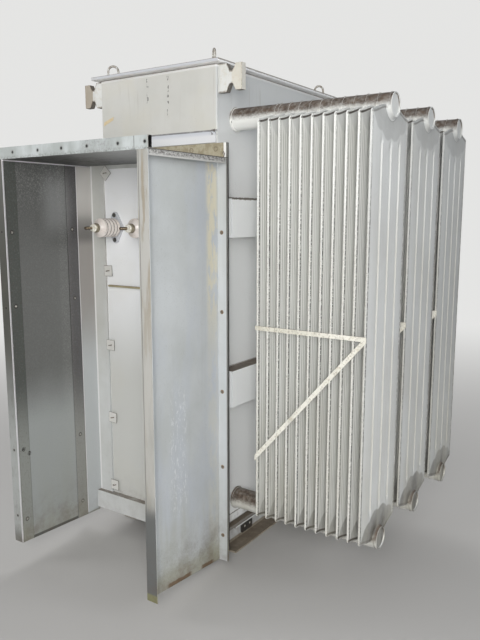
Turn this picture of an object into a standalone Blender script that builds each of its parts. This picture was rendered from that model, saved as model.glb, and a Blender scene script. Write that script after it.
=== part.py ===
"""Oil filled power transformer: welded tank, three finned radiators and an open terminal chamber.

Metres, +Z up. Sizes are laid out from the centre of the tank's footprint at floor level, and the
finished pieces are then shifted so that the origin is the middle of the whole plan. The tank's
end wall with the terminal chamber faces -Y, and the radiators stand off the +X wall.
"""
import math

import bmesh
import bpy
from mathutils import Matrix, Vector

# Clearance between pieces that touch
SEAT = 0.0003
# Cutters run past the faces that they cut by this much
OVERRUN = 0.004

# Tank
TANK_WIDTH = 0.632
TANK_LENGTH = 0.990
TANK_WALL_TOP = 2.088
TANK_EDGE_BEND = 0.004
BOTTOM_PLATE_TOP = 0.139
BOTTOM_PLATE_THICKNESS = 0.014
BOTTOM_PLATE_LIP = 0.022
COVER_THICKNESS = 0.013
COVER_LIP = 0.030
COVER_BEND = 0.002

# Base rails: channels with their flanges turned outward
RAIL_FLANGE = 0.075
RAIL_WALL = 0.007
RAIL_INSET = 0.051
RAIL_SETBACK = 0.095
CROSS_RAIL_DEPTH = 0.050
CROSS_RAIL_CLEARANCE = 0.062
EARTH_PAD_LENGTH = 0.084
EARTH_PAD_HEIGHT = 0.050
EARTH_PAD_THICKNESS = 0.012
EARTH_PAD_HOLE_RADIUS = 0.0065
EARTH_PAD_HOLE_SPACING = 0.042
EARTH_PAD_FROM_END = 0.182
# Height of the earth pads' middle as a share of the rails' height
EARTH_PAD_LEVEL_SHARE = 0.40

# Stiffeners: flat fronted channels welded to the walls
STIFFENER_HEIGHT = 0.155
STIFFENER_DEPTH = 0.070
STIFFENER_WALL = 0.008
# Heights of the stiffeners' tops as shares of the rise from the lower to the upper headers
STIFFENER_UPPER_SHARE = 0.8037
STIFFENER_LOWER_SHARE = 0.3738
STIFFENER_END_INSET = 0.004
REAR_STIFFENER_SETBACK = 0.060

# Flat bars on the end wall with the terminal chamber
TOP_BAND_HEIGHT = 0.046
TOP_BAND_THICKNESS = 0.008
TOP_BAND_RISE = 0.003
SHELF_BAR_TOP = 1.185
SHELF_BAR_DEPTH = 0.014
SHELF_BAR_THICKNESS = 0.008
SHELF_BAR_GAP = 0.020

# Bollard shaped lifting lugs on the side walls
LUG_REACH = 0.112
LUG_HEIGHT = 0.108
LUG_THICKNESS = 0.026
LUG_TOP_DROP = 0.002
LUG_END_INSET = 0.012
LUG_NECK = 0.046
LUG_NOTCH_CENTRE = 0.061
LUG_NOTCH_MOUTH = 0.044
LUG_NOTCH_FLOOR = 0.014
LUG_HORN_DROP = 0.004

# Bent rod eyes on the cover
EYE_ROD_RADIUS = 0.006
EYE_SPAN = 0.056
EYE_HEIGHT = 0.050
EYE_CORNER_INSET = 0.040
EYE_BEND_POINTS = 6
EYE_YAW_DEGREES = 45.0

# Radiators
RADIATOR_COUNT = 3
RADIATOR_FIRST_SHARE = 0.1359
RADIATOR_SPACING_SHARE = 0.404
PANEL_COUNT = 11
PANEL_PITCH = 0.045
PANEL_FIRST_FROM_WALL = 0.2166
PANEL_WIDTH_SHARE = 0.8625
PANEL_THICKNESS = 0.014
PANEL_RIM_THICKNESS = 0.004
PANEL_RIM_WIDTH = 0.011
PANEL_CORNER_CUT = 0.012
PANEL_SHOULDER_RISE = 0.026
PANEL_CROWN_WIDTH = 0.096
PANEL_CORNER_FROM_HEADER = 0.029
GROOVE_COUNT = 3
GROOVE_WIDTH = 0.026
GROOVE_DEPTH = 0.0045
GROOVE_TIP_LENGTH = 0.050
GROOVE_END_MIDDLE = 0.118
GROOVE_END_SIDE = 0.100
HEADER_UPPER_HEIGHT = 1.889
HEADER_LOWER_HEIGHT = 0.249
HEADER_RADIUS = 0.04445
HEADER_RIM = 0.004
HEADER_RECESS = 0.006
HEADER_END_STUB = 0.021
HEADER_SIDES = 16

# Flat bar braces on the panels' near edges
BRACE_HEIGHT = 0.017
BRACE_THICKNESS = 0.004
BRACE_END_RUN = 0.007
BRACE_LEVEL = 1.066
BRACE_FOOT_LEVEL = 0.534

# Terminal chamber: its inner width is the tank's width and an overhang at each side
CHAMBER_OVERHANG_LEFT = 0.084
CHAMBER_OVERHANG_RIGHT = 0.008
CHAMBER_DEPTH = 0.467
CHAMBER_TOP = 1.722
CHAMBER_BOTTOM = 0.071
# Lower edges of the side walls at their front and rear ends, which hang unevenly
RIGHT_WALL_FOOT_FRONT = 0.064
RIGHT_WALL_FOOT_REAR = 0.019
LEFT_WALL_FOOT_FRONT = 0.083
LEFT_WALL_FOOT_REAR = 0.063
SHEET = 0.0035
CHAMBER_LIP = 0.046
STRAP_WIDTH = 0.060
STRAP_THICKNESS = 0.002
STRAP_END_INSET = 0.003
STRAP_REAR_SETBACK = 0.086
ROOF_LIP = 0.042
ROOF_LIP_RETURN = 0.021
ROOF_REAR_LIP = 0.058
ROOF_SKIRT = 0.020
ROOF_SKIRT_END_GAP = 0.010
FOLD_GAP = 0.0025

# Mounting frame between the tank and the terminal chamber, with its sill and its side plates
FRAME_THICKNESS = 0.008
FRAME_SIDE_COVER = 0.003
FRAME_HEAD_DROP = 0.016
SILL_TOP = 0.171
SILL_DEPTH = 0.022
SILL_BOTTOM_RISE = 0.014
THROAT_DEPTH = 0.086
THROAT_THICKNESS = 0.004
THROAT_END_INSET = 0.006

# Bushings
BUSHING_COUNT = 3
BUSHING_SPACING_SHARE = 0.3244
BUSHING_OFFSET_SHARE = -0.0652
BUSHING_LEVEL = 1.447
BUSHING_BODY_RADIUS = 0.034
BUSHING_SHED_RADIUS = 0.043
BUSHING_SHED_COUNT = 5
BUSHING_SHED_LENGTH = 0.0185
BUSHING_SHED_RISE_SHARE = 0.125
BUSHING_SHED_FALL_SHARE = 0.75
BUSHING_BODY_START = 0.016
BUSHING_NOSE_LENGTH = 0.010
BUSHING_SIDES = 16
STUD_RADIUS = 0.007
STUD_LENGTH = 0.072
STUD_TIP = 0.005
WASHER_RADIUS = 0.017
WASHER_THICKNESS = 0.009
NUT_RADIUS = 0.013
NUT_THICKNESS = 0.013
NUT_FROM_WASHER = 0.012
STUD_SIDES = 12
CLAMP_HALF_HEIGHT = 0.070
CLAMP_HALF_WIDTH = 0.048
CLAMP_THICKNESS = 0.012
CLAMP_EAR_RADIUS = 0.015
CLAMP_EAR_POINTS = 5
CLAMP_BOLT_SPACING = 0.110
CLAMP_BOLT_RADIUS = 0.009
CLAMP_BOLT_HEIGHT = 0.008
CLAMP_BOLT_SIDES = 6

# Places that follow from the sizes above
WALL_RIGHT = TANK_WIDTH / 2
WALL_LEFT = -TANK_WIDTH / 2
WALL_FRONT = -TANK_LENGTH / 2
WALL_REAR = TANK_LENGTH / 2
RAIL_HEIGHT = BOTTOM_PLATE_TOP - BOTTOM_PLATE_THICKNESS - SEAT
COVER_UNDERSIDE = TANK_WALL_TOP + SEAT
COVER_TOP = COVER_UNDERSIDE + COVER_THICKNESS
CHAMBER_INNER_LEFT = WALL_LEFT - CHAMBER_OVERHANG_LEFT
CHAMBER_INNER_RIGHT = WALL_RIGHT + CHAMBER_OVERHANG_RIGHT
CHAMBER_LIP_LEFT = CHAMBER_INNER_LEFT - SHEET - CHAMBER_LIP
CHAMBER_LIP_RIGHT = CHAMBER_INNER_RIGHT + SHEET + CHAMBER_LIP
FRAME_REAR = WALL_FRONT - SEAT
FRAME_FRONT = FRAME_REAR - FRAME_THICKNESS
CHAMBER_REAR = FRAME_FRONT - SEAT
CHAMBER_FRONT = CHAMBER_REAR - CHAMBER_DEPTH
ROOF_UNDERSIDE = CHAMBER_TOP + SEAT
FRAME_TOP = ROOF_UNDERSIDE + SHEET + ROOF_REAR_LIP
HEADER_RISE = HEADER_UPPER_HEIGHT - HEADER_LOWER_HEIGHT
PANEL_CORNER_UPPER = HEADER_UPPER_HEIGHT - PANEL_CORNER_FROM_HEADER
PANEL_CORNER_LOWER = HEADER_LOWER_HEIGHT + PANEL_CORNER_FROM_HEADER
PANEL_FIRST = WALL_RIGHT + PANEL_FIRST_FROM_WALL
PANEL_LAST = PANEL_FIRST + (PANEL_COUNT - 1) * PANEL_PITCH
RADIATOR_FIRST = WALL_FRONT + TANK_LENGTH * RADIATOR_FIRST_SHARE
RADIATOR_SPACING = TANK_LENGTH * RADIATOR_SPACING_SHARE
PANEL_WIDTH = RADIATOR_SPACING * PANEL_WIDTH_SHARE
RADIATOR_LAST = RADIATOR_FIRST + (RADIATOR_COUNT - 1) * RADIATOR_SPACING

# Ends of the whole plan
PLAN_LEFT = min(WALL_LEFT - LUG_REACH, CHAMBER_LIP_LEFT)
PLAN_RIGHT = PANEL_LAST + HEADER_END_STUB
PLAN_FRONT = CHAMBER_FRONT
PLAN_REAR = max(RADIATOR_LAST + PANEL_WIDTH / 2, WALL_REAR + SEAT + STIFFENER_DEPTH, WALL_REAR + COVER_LIP)


def clear_scene():
    for item in list(bpy.data.objects):
        bpy.data.objects.remove(item, do_unlink=True)


def make_material(name, colour, roughness, metallic=0.0):
    """One Principled material with a plain colour."""
    material = bpy.data.materials.new(name)
    material.use_nodes = True
    shader = material.node_tree.nodes["Principled BSDF"]
    shader.inputs["Base Color"].default_value = (*colour, 1.0)
    shader.inputs["Roughness"].default_value = roughness
    shader.inputs["Metallic"].default_value = metallic
    return material


def add_object(name, mesh_data, material=None):
    """Put a bmesh into the scene as a named object and free the bmesh."""
    mesh = bpy.data.meshes.new(name)
    bmesh.ops.recalc_face_normals(mesh_data, faces=mesh_data.faces)
    mesh_data.to_mesh(mesh)
    mesh_data.free()
    if material is not None:
        mesh.materials.append(material)
    item = bpy.data.objects.new(name, mesh)
    bpy.context.scene.collection.objects.link(item)
    return item


def hide_cutter(item):
    """A cutter or a union's second piece shows only as wire, and not in renders."""
    item.hide_render = True
    item.display_type = "WIRE"


def add_boolean(item, other, operation):
    """Cut or join item with other, which is kept as a hidden guide."""
    hide_cutter(other)
    modifier = item.modifiers.new(operation.title() + " " + other.name, "BOOLEAN")
    modifier.operation = operation
    modifier.object = other


def add_bevel(item, width):
    """Round the sharp edges of a plate or box a little."""
    modifier = item.modifiers.new("Edge bend", "BEVEL")
    modifier.width = width
    modifier.segments = 1
    modifier.limit_method = "ANGLE"


def shade_round(item, angle_degrees=40.0):
    """Smooth shading with the true corners kept sharp."""
    item.data.shade_smooth()
    item.data.set_sharp_from_angle(angle=math.radians(angle_degrees))


def box(low, high):
    """A bmesh box between two corners."""
    mesh_data = bmesh.new()
    size = [b - a for a, b in zip(low, high)]
    centre = [(a + b) / 2 for a, b in zip(low, high)]
    matrix = Matrix.Translation(centre) @ Matrix.Diagonal((*size, 1.0))
    bmesh.ops.create_cube(mesh_data, size=1.0, matrix=matrix)
    return mesh_data


def extruded(outline, low, high, place):
    """A prism of a flat outline between two levels; place turns (u, v, level) into a point."""
    mesh_data = bmesh.new()
    lower = [mesh_data.verts.new(place(u, v, low)) for u, v in outline]
    upper = [mesh_data.verts.new(place(u, v, high)) for u, v in outline]
    mesh_data.faces.new(lower)
    mesh_data.faces.new(upper)
    for i in range(len(outline)):
        j = (i + 1) % len(outline)
        mesh_data.faces.new((lower[i], lower[j], upper[j], upper[i]))
    return mesh_data


def plan(u, v, level):
    """Outline in X and Y, extruded up."""
    return Vector((u, v, level))


def side(u, v, level):
    """Outline in Y and Z, extruded along X."""
    return Vector((level, u, v))


def front(u, v, level):
    """Outline in X and Z, extruded along Y."""
    return Vector((u, level, v))


def turned(profile, sides, place):
    """A solid of revolution. The profile is (distance along the axis, radius), from axis to axis."""
    mesh_data = bmesh.new()
    rings = []
    for along, radius in profile:
        if radius == 0:
            rings.append([mesh_data.verts.new(place(0, 0, along))])
            continue
        ring = []
        for k in range(sides):
            angle = 2 * math.pi * (k + 0.5) / sides
            across, up = radius * math.cos(angle), radius * math.sin(angle)
            ring.append(mesh_data.verts.new(place(across, up, along)))
        rings.append(ring)
    for first, second in zip(rings, rings[1:]):
        for k in range(sides):
            n = (k + 1) % sides
            corners = [first[k % len(first)], first[n % len(first)]]
            corners += [second[n % len(second)], second[k % len(second)]]
            mesh_data.faces.new(list(dict.fromkeys(corners)))
    return mesh_data


def folded_sheet(path, thickness):
    """Closed outline of a sheet folded along path, with its thickness laid to the path's left."""
    points = [Vector(point) for point in path]
    offset = []
    for i, point in enumerate(points):
        before = (point - points[i - 1]).normalized() if i > 0 else None
        after = (points[i + 1] - point).normalized() if i < len(points) - 1 else None
        if before is None:
            before = after
        if after is None:
            after = before
        normal_before = Vector((-before.y, before.x))
        normal_after = Vector((-after.y, after.x))
        mitre = (normal_before + normal_after).normalized()
        offset.append(point + mitre * (thickness / mitre.dot(normal_after)))
    return [tuple(point) for point in points] + [tuple(point) for point in reversed(offset)]


def inset_outline(outline, distance):
    """Move every side of a closed outline inward by distance. The outline runs anticlockwise."""
    count = len(outline)
    points = [Vector(point) for point in outline]
    result = []
    for i in range(count):
        before = (points[i] - points[i - 1]).normalized()
        after = (points[(i + 1) % count] - points[i]).normalized()
        normal_before = Vector((-before.y, before.x))
        normal_after = Vector((-after.y, after.x))
        mitre = (normal_before + normal_after).normalized()
        result.append(points[i] + mitre * (distance / mitre.dot(normal_after)))
    return result


# Tank

def build_tank(paint):
    low = (WALL_LEFT, WALL_FRONT, BOTTOM_PLATE_TOP + SEAT)
    tank = add_object("tank_shell", box(low, (WALL_RIGHT, WALL_REAR, TANK_WALL_TOP)), paint)
    add_bevel(tank, TANK_EDGE_BEND)
    low = (WALL_LEFT - BOTTOM_PLATE_LIP, WALL_FRONT, BOTTOM_PLATE_TOP - BOTTOM_PLATE_THICKNESS)
    high = (WALL_RIGHT + BOTTOM_PLATE_LIP, WALL_REAR, BOTTOM_PLATE_TOP)
    add_object("tank_bottom_plate", box(low, high), paint)
    low = (WALL_LEFT - COVER_LIP, WALL_FRONT - COVER_LIP, COVER_UNDERSIDE)
    high = (WALL_RIGHT + COVER_LIP, WALL_REAR + COVER_LIP, COVER_TOP)
    cover = add_object("tank_cover", box(low, high), paint)
    add_bevel(cover, COVER_BEND)


def build_base(paint):
    """Two side rails with outward flanges, and a cross rail between them at each end."""
    for name, sign in (("base_rail_right", 1), ("base_rail_left", -1)):
        web = WALL_RIGHT - RAIL_INSET
        path = [(web + RAIL_FLANGE, 0), (web, 0), (web, RAIL_HEIGHT), (web + RAIL_FLANGE, RAIL_HEIGHT)]
        outline = [(sign * u, v) for u, v in folded_sheet(path, -RAIL_WALL)]
        add_object(name, extruded(outline, WALL_FRONT + RAIL_SETBACK, WALL_REAR - RAIL_SETBACK, front), paint)
    between = WALL_RIGHT - RAIL_INSET - SEAT
    for name, sign in (("base_cross_rail_front", -1), ("base_cross_rail_rear", 1)):
        outer = WALL_REAR - RAIL_SETBACK
        inner = outer - CROSS_RAIL_DEPTH
        path = [(inner, CROSS_RAIL_CLEARANCE), (outer, CROSS_RAIL_CLEARANCE), (outer, RAIL_HEIGHT),
                (inner, RAIL_HEIGHT)]
        outline = [(sign * u, v) for u, v in folded_sheet(path, RAIL_WALL)]
        add_object(name, extruded(outline, -between, between, side), paint)


def build_earth_pad(name, sign_x, place_y, paint):
    """A flat pad with two holes on a rail's web."""
    web_outer = WALL_RIGHT - RAIL_INSET + RAIL_WALL + SEAT
    level = RAIL_HEIGHT * EARTH_PAD_LEVEL_SHARE
    near, far = sorted((sign_x * web_outer, sign_x * (web_outer + EARTH_PAD_THICKNESS)))
    low = (near, place_y - EARTH_PAD_LENGTH / 2, level - EARTH_PAD_HEIGHT / 2)
    high = (far, place_y + EARTH_PAD_LENGTH / 2, level + EARTH_PAD_HEIGHT / 2)
    pad = add_object(name, box(low, high), paint)
    for k in (-1, 1):
        centre_y = place_y + k * EARTH_PAD_HOLE_SPACING / 2
        profile = [(near - OVERRUN, 0), (near - OVERRUN, EARTH_PAD_HOLE_RADIUS),
                   (far + OVERRUN, EARTH_PAD_HOLE_RADIUS), (far + OVERRUN, 0)]
        hole = turned(profile, STUD_SIDES, lambda u, v, w, y=centre_y: Vector((w, y + u, level + v)))
        add_boolean(pad, add_object(name + "_hole", hole), "DIFFERENCE")


def build_stiffeners(paint):
    """Channels welded with their open side to the wall: two a side, and two on the rear wall."""
    for label, share in (("upper", STIFFENER_UPPER_SHARE), ("lower", STIFFENER_LOWER_SHARE)):
        top = HEADER_LOWER_HEIGHT + HEADER_RISE * share
        bottom = top - STIFFENER_HEIGHT
        inner = SEAT
        outer = SEAT + STIFFENER_DEPTH
        path = [(inner, bottom), (outer, bottom), (outer, top), (inner, top)]
        channel = folded_sheet(path, STIFFENER_WALL)
        for name, sign in (("right", 1), ("left", -1)):
            outline = [(sign * (WALL_RIGHT + u), v) for u, v in channel]
            length = (WALL_FRONT + STIFFENER_END_INSET, WALL_REAR - STIFFENER_END_INSET)
            add_object(f"stiffener_{name}_{label}", extruded(outline, *length, front), paint)
        outline = [(WALL_REAR + u, v) for u, v in channel]
        width = (WALL_LEFT + REAR_STIFFENER_SETBACK, WALL_RIGHT - REAR_STIFFENER_SETBACK)
        add_object(f"stiffener_rear_{label}", extruded(outline, *width, side), paint)


def build_front_bars(paint):
    """The flat band above the mounting frame, and the thin shelf bar inside the chamber."""
    bottom = FRAME_TOP + TOP_BAND_RISE
    low = (WALL_LEFT, WALL_FRONT - SEAT - TOP_BAND_THICKNESS, bottom)
    high = (WALL_RIGHT, WALL_FRONT - SEAT, bottom + TOP_BAND_HEIGHT)
    add_object("front_top_band", box(low, high), paint)
    underside = SHELF_BAR_TOP - SHELF_BAR_THICKNESS
    low = (WALL_LEFT + SHELF_BAR_GAP, WALL_FRONT - SEAT - SHELF_BAR_DEPTH, underside)
    high = (WALL_RIGHT - SHELF_BAR_GAP, WALL_FRONT - SEAT, SHELF_BAR_TOP)
    add_object("front_shelf_bar", box(low, high), paint)


def lug_outline():
    """Bollard: a block, a neck between two V notches, and an outer horn. (u out from wall, v up)"""
    top = LUG_HEIGHT / 2
    neck = LUG_NECK / 2
    horn = top - LUG_HORN_DROP
    mouth = LUG_NOTCH_MOUTH / 2
    floor = LUG_NOTCH_FLOOR / 2
    upper = [(LUG_REACH, horn), (LUG_NOTCH_CENTRE + mouth, horn), (LUG_NOTCH_CENTRE + floor, neck),
             (LUG_NOTCH_CENTRE - floor, neck), (LUG_NOTCH_CENTRE - mouth, top), (SEAT, top)]
    lower = [(u, -v) for u, v in reversed(upper)]
    return upper + lower


def build_lugs(paint):
    level = TANK_WALL_TOP - LUG_TOP_DROP - LUG_HEIGHT / 2
    for x_name, sign_x in (("right", 1), ("left", -1)):
        for y_name, sign_y in (("front", -1), ("rear", 1)):
            outline = [(sign_x * (WALL_RIGHT + u), level + v) for u, v in lug_outline()]
            outer = sign_y * (WALL_REAR - LUG_END_INSET)
            inner = outer - sign_y * LUG_THICKNESS
            lug = extruded(outline, min(inner, outer), max(inner, outer), front)
            add_object(f"lifting_lug_{y_name}_{x_name}", lug, paint)


def build_cover_eyes(paint):
    """U shaped rods whose feet stand on the cover, turned towards its middle."""
    half = EYE_SPAN / 2
    straight = EYE_HEIGHT - half
    for x_name, sign_x in (("right", 1), ("left", -1)):
        for y_name, sign_y in (("front", -1), ("rear", 1)):
            curve = bpy.data.curves.new(f"cover_eye_{y_name}_{x_name}", "CURVE")
            curve.dimensions = "3D"
            curve.bevel_depth = EYE_ROD_RADIUS
            curve.bevel_resolution = 2
            curve.use_fill_caps = True
            points = [(half, 0)]
            for k in range(EYE_BEND_POINTS + 1):
                angle = math.pi * k / EYE_BEND_POINTS
                points.append((half * math.cos(angle), straight + half * math.sin(angle)))
            points.append((-half, 0))
            spline = curve.splines.new("POLY")
            spline.points.add(len(points) - 1)
            for target, (across, up) in zip(spline.points, points):
                target.co = (across, 0, up, 1)
            curve.materials.append(paint)
            eye = bpy.data.objects.new(curve.name, curve)
            bpy.context.scene.collection.objects.link(eye)
            inset = EYE_CORNER_INSET
            eye.location = (sign_x * (WALL_RIGHT - inset), sign_y * (WALL_REAR - inset), COVER_TOP + SEAT)
            eye.rotation_euler.z = sign_x * sign_y * math.radians(EYE_YAW_DEGREES)


# Radiators

def panel_rim():
    """Outline of a panel in (y, z), anticlockwise: straight sides and shouldered heads."""
    half = PANEL_WIDTH / 2
    cut = PANEL_CORNER_CUT
    crown = PANEL_CROWN_WIDTH / 2
    upper = PANEL_CORNER_UPPER
    lower = PANEL_CORNER_LOWER
    groove_top = upper - GROOVE_END_SIDE
    groove_bottom = lower + GROOVE_END_SIDE
    right = [(crown, lower - PANEL_SHOULDER_RISE), (half - cut, lower), (half, lower + cut),
             (half, groove_bottom), (half, groove_top), (half, upper - cut), (half - cut, upper),
             (crown, upper + PANEL_SHOULDER_RISE)]
    left = [(-y, z) for y, z in reversed(right)]
    return right + left


def panel_mesh(centre_x, centre_y):
    """One pressed panel: a thin rim, a bulged face and vertical grooves with pointed ends."""
    rim = panel_rim()
    face = inset_outline(rim, PANEL_RIM_WIDTH)
    mesh_data = bmesh.new()
    pitch = PANEL_WIDTH / (GROOVE_COUNT + 1)
    groove_places = [pitch * (k - (GROOVE_COUNT - 1) / 2) for k in range(GROOVE_COUNT)]
    upper_tip_shares = [abs(y) / (PANEL_WIDTH / 2) for y in groove_places]
    rims = []
    for sign in (1, -1):
        def add(y, z, out):
            return mesh_data.verts.new((centre_x + sign * out, centre_y + y, z))
        rim_out = PANEL_RIM_THICKNESS / 2
        face_out = PANEL_THICKNESS / 2
        rim_verts = [add(y, z, rim_out) for y, z in rim]
        face_verts = [add(p.x, p.y, face_out) for p in face]
        rims.append(rim_verts)
        for i in range(len(rim)):
            j = (i + 1) % len(rim)
            mesh_data.faces.new((rim_verts[i], rim_verts[j], face_verts[j], face_verts[i]))
        # Rows of points across the panel where the grooves begin to rise, and their tips
        rows = {}
        tips = {}
        for end, level, direction in (("lower", PANEL_CORNER_LOWER, 1), ("upper", PANEL_CORNER_UPPER, -1)):
            tips[end] = []
            row = []
            for y, share in zip(groove_places, upper_tip_shares):
                reach = GROOVE_END_MIDDLE + (GROOVE_END_SIDE - GROOVE_END_MIDDLE) * share
                start = level + direction * (reach + GROOVE_TIP_LENGTH)
                row.append((add(y - GROOVE_WIDTH / 2, start, face_out),
                            add(y, start, face_out - GROOVE_DEPTH),
                            add(y + GROOVE_WIDTH / 2, start, face_out)))
                tips[end].append(add(y, level + direction * reach, face_out))
            rows[end] = row
        for k in range(GROOVE_COUNT):
            low_row, high_row = rows["lower"][k], rows["upper"][k]
            mesh_data.faces.new((low_row[0], low_row[1], high_row[1], high_row[0]))
            mesh_data.faces.new((low_row[1], low_row[2], high_row[2], high_row[1]))
            for end in ("lower", "upper"):
                row = rows[end][k]
                mesh_data.faces.new((row[0], row[1], tips[end][k]))
                mesh_data.faces.new((row[1], row[2], tips[end][k]))
        # Flats between the grooves
        for k in range(GROOVE_COUNT - 1):
            mesh_data.faces.new((rows["lower"][k][2], rows["lower"][k + 1][0],
                                 rows["upper"][k + 1][0], rows["upper"][k][2]))
        # Side flats next to the rim
        right_low, right_high = face_verts[3], face_verts[4]
        left_high, left_low = face_verts[len(rim) - 5], face_verts[len(rim) - 4]
        mesh_data.faces.new((rows["lower"][-1][2], right_low, right_high, rows["upper"][-1][2]))
        mesh_data.faces.new((left_low, rows["lower"][0][0], rows["upper"][0][0], left_high))
        # Smooth heads between the grooves' pointed ends and the shoulders
        lower_chain = [left_low]
        upper_chain = [left_high]
        for k in range(GROOVE_COUNT):
            lower_chain += [rows["lower"][k][0], tips["lower"][k], rows["lower"][k][2]]
            upper_chain += [rows["upper"][k][0], tips["upper"][k], rows["upper"][k][2]]
        lower_head = face_verts[len(rim) - 4:] + face_verts[:4]
        upper_head = face_verts[4:len(rim) - 4]
        mesh_data.faces.new(lower_head + lower_chain[:0:-1])
        mesh_data.faces.new(upper_head + upper_chain[1:])
    for i in range(len(rim)):
        j = (i + 1) % len(rim)
        mesh_data.faces.new((rims[0][i], rims[0][j], rims[1][j], rims[1][i]))
    return mesh_data


def header_mesh(centre_y, level):
    """Header pipe along X from the tank wall, with its end disc set back inside the rim."""
    end = PANEL_LAST + HEADER_END_STUB
    inner = HEADER_RADIUS - HEADER_RIM
    profile = [(WALL_RIGHT + SEAT, 0), (WALL_RIGHT + SEAT, HEADER_RADIUS), (end, HEADER_RADIUS),
               (end, inner), (end - HEADER_RECESS, inner), (end - HEADER_RECESS, 0)]
    return turned(profile, HEADER_SIDES, lambda u, v, w: Vector((w, centre_y + u, level + v)))


def build_radiator(number, centre_y, paint):
    """Eleven panels welded to an upper and a lower header pipe as one piece."""
    name = f"radiator_{number}"
    radiator = add_object(name, header_mesh(centre_y, HEADER_UPPER_HEIGHT), paint)
    joined = bpy.data.collections.new(name + "_joined")
    bpy.context.scene.collection.children.link(joined)
    pieces = [add_object(name + "_lower_header", header_mesh(centre_y, HEADER_LOWER_HEIGHT), paint)]
    for k in range(PANEL_COUNT):
        centre_x = PANEL_FIRST + k * PANEL_PITCH
        pieces.append(add_object(f"{name}_panel_{k + 1}", panel_mesh(centre_x, centre_y), paint))
    for piece in pieces:
        bpy.context.scene.collection.objects.unlink(piece)
        joined.objects.link(piece)
        hide_cutter(piece)
    modifier = radiator.modifiers.new("Weld panels", "BOOLEAN")
    modifier.operation = "UNION"
    modifier.operand_type = "COLLECTION"
    modifier.collection = joined
    shade_round(radiator)


def build_brace(number, centre_y, paint):
    """A level bar and a slanting bar along the near edges of the panels, meeting at the last one."""
    inner = PANEL_FIRST - BRACE_END_RUN
    outer = PANEL_LAST + BRACE_END_RUN
    half = BRACE_HEIGHT / 2
    near_edge = centre_y - PANEL_WIDTH / 2 - SEAT
    rise = (BRACE_LEVEL - BRACE_FOOT_LEVEL) / (outer - inner)
    slant = half * math.sqrt(1 + rise * rise)
    bend = outer - (half + slant) / rise
    outline = [(inner, BRACE_LEVEL - half), (bend, BRACE_LEVEL - half), (inner, BRACE_FOOT_LEVEL + slant),
               (inner, BRACE_FOOT_LEVEL - slant), (outer, BRACE_LEVEL - slant), (outer, BRACE_LEVEL + half),
               (inner, BRACE_LEVEL + half)]
    bar = extruded(outline, near_edge - BRACE_THICKNESS, near_edge, front)
    add_object(f"radiator_brace_{number}", bar, paint)


def build_radiators(paint):
    for k in range(RADIATOR_COUNT):
        centre_y = RADIATOR_FIRST + k * RADIATOR_SPACING
        build_radiator(k + 1, centre_y, paint)
        build_brace(k + 1, centre_y, paint)


# Terminal chamber

def build_mounting_frame(paint):
    """Plate frame on the tank's end wall, with a deep sill and a plate inside each chamber wall."""
    low = (CHAMBER_LIP_LEFT, FRAME_FRONT, CHAMBER_BOTTOM)
    high = (CHAMBER_LIP_RIGHT, FRAME_REAR, FRAME_TOP)
    frame = add_object("mounting_frame", box(low, high), paint)
    low = (WALL_LEFT + FRAME_SIDE_COVER, FRAME_FRONT - OVERRUN, SILL_TOP)
    high = (WALL_RIGHT - FRAME_SIDE_COVER, FRAME_REAR + OVERRUN, CHAMBER_TOP - FRAME_HEAD_DROP)
    add_boolean(frame, add_object("mounting_frame_opening", box(low, high)), "DIFFERENCE")
    middle = (FRAME_FRONT + FRAME_REAR) / 2
    left = CHAMBER_INNER_LEFT + STRAP_THICKNESS + SEAT
    right = CHAMBER_INNER_RIGHT - STRAP_THICKNESS - SEAT
    low = (left, FRAME_FRONT - SILL_DEPTH, CHAMBER_BOTTOM + SILL_BOTTOM_RISE)
    sill = add_object("mounting_frame_sill", box(low, (right, middle, SILL_TOP)))
    add_boolean(frame, sill, "UNION")
    sides = (("left", left, left + THROAT_THICKNESS), ("right", right - THROAT_THICKNESS, right))
    for name, start, end in sides:
        low = (start, FRAME_FRONT - THROAT_DEPTH, CHAMBER_BOTTOM + THROAT_END_INSET)
        high = (end, middle, CHAMBER_TOP - THROAT_END_INSET)
        plate = add_object("mounting_frame_plate_" + name, box(low, high))
        add_boolean(frame, plate, "UNION")


def wall_foot(feet, y):
    """Height of a side wall's lower edge at y, from the heights at its front and rear ends."""
    share = (y - CHAMBER_FRONT) / (CHAMBER_REAR - CHAMBER_FRONT)
    return feet[0] + (feet[1] - feet[0]) * share


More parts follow.
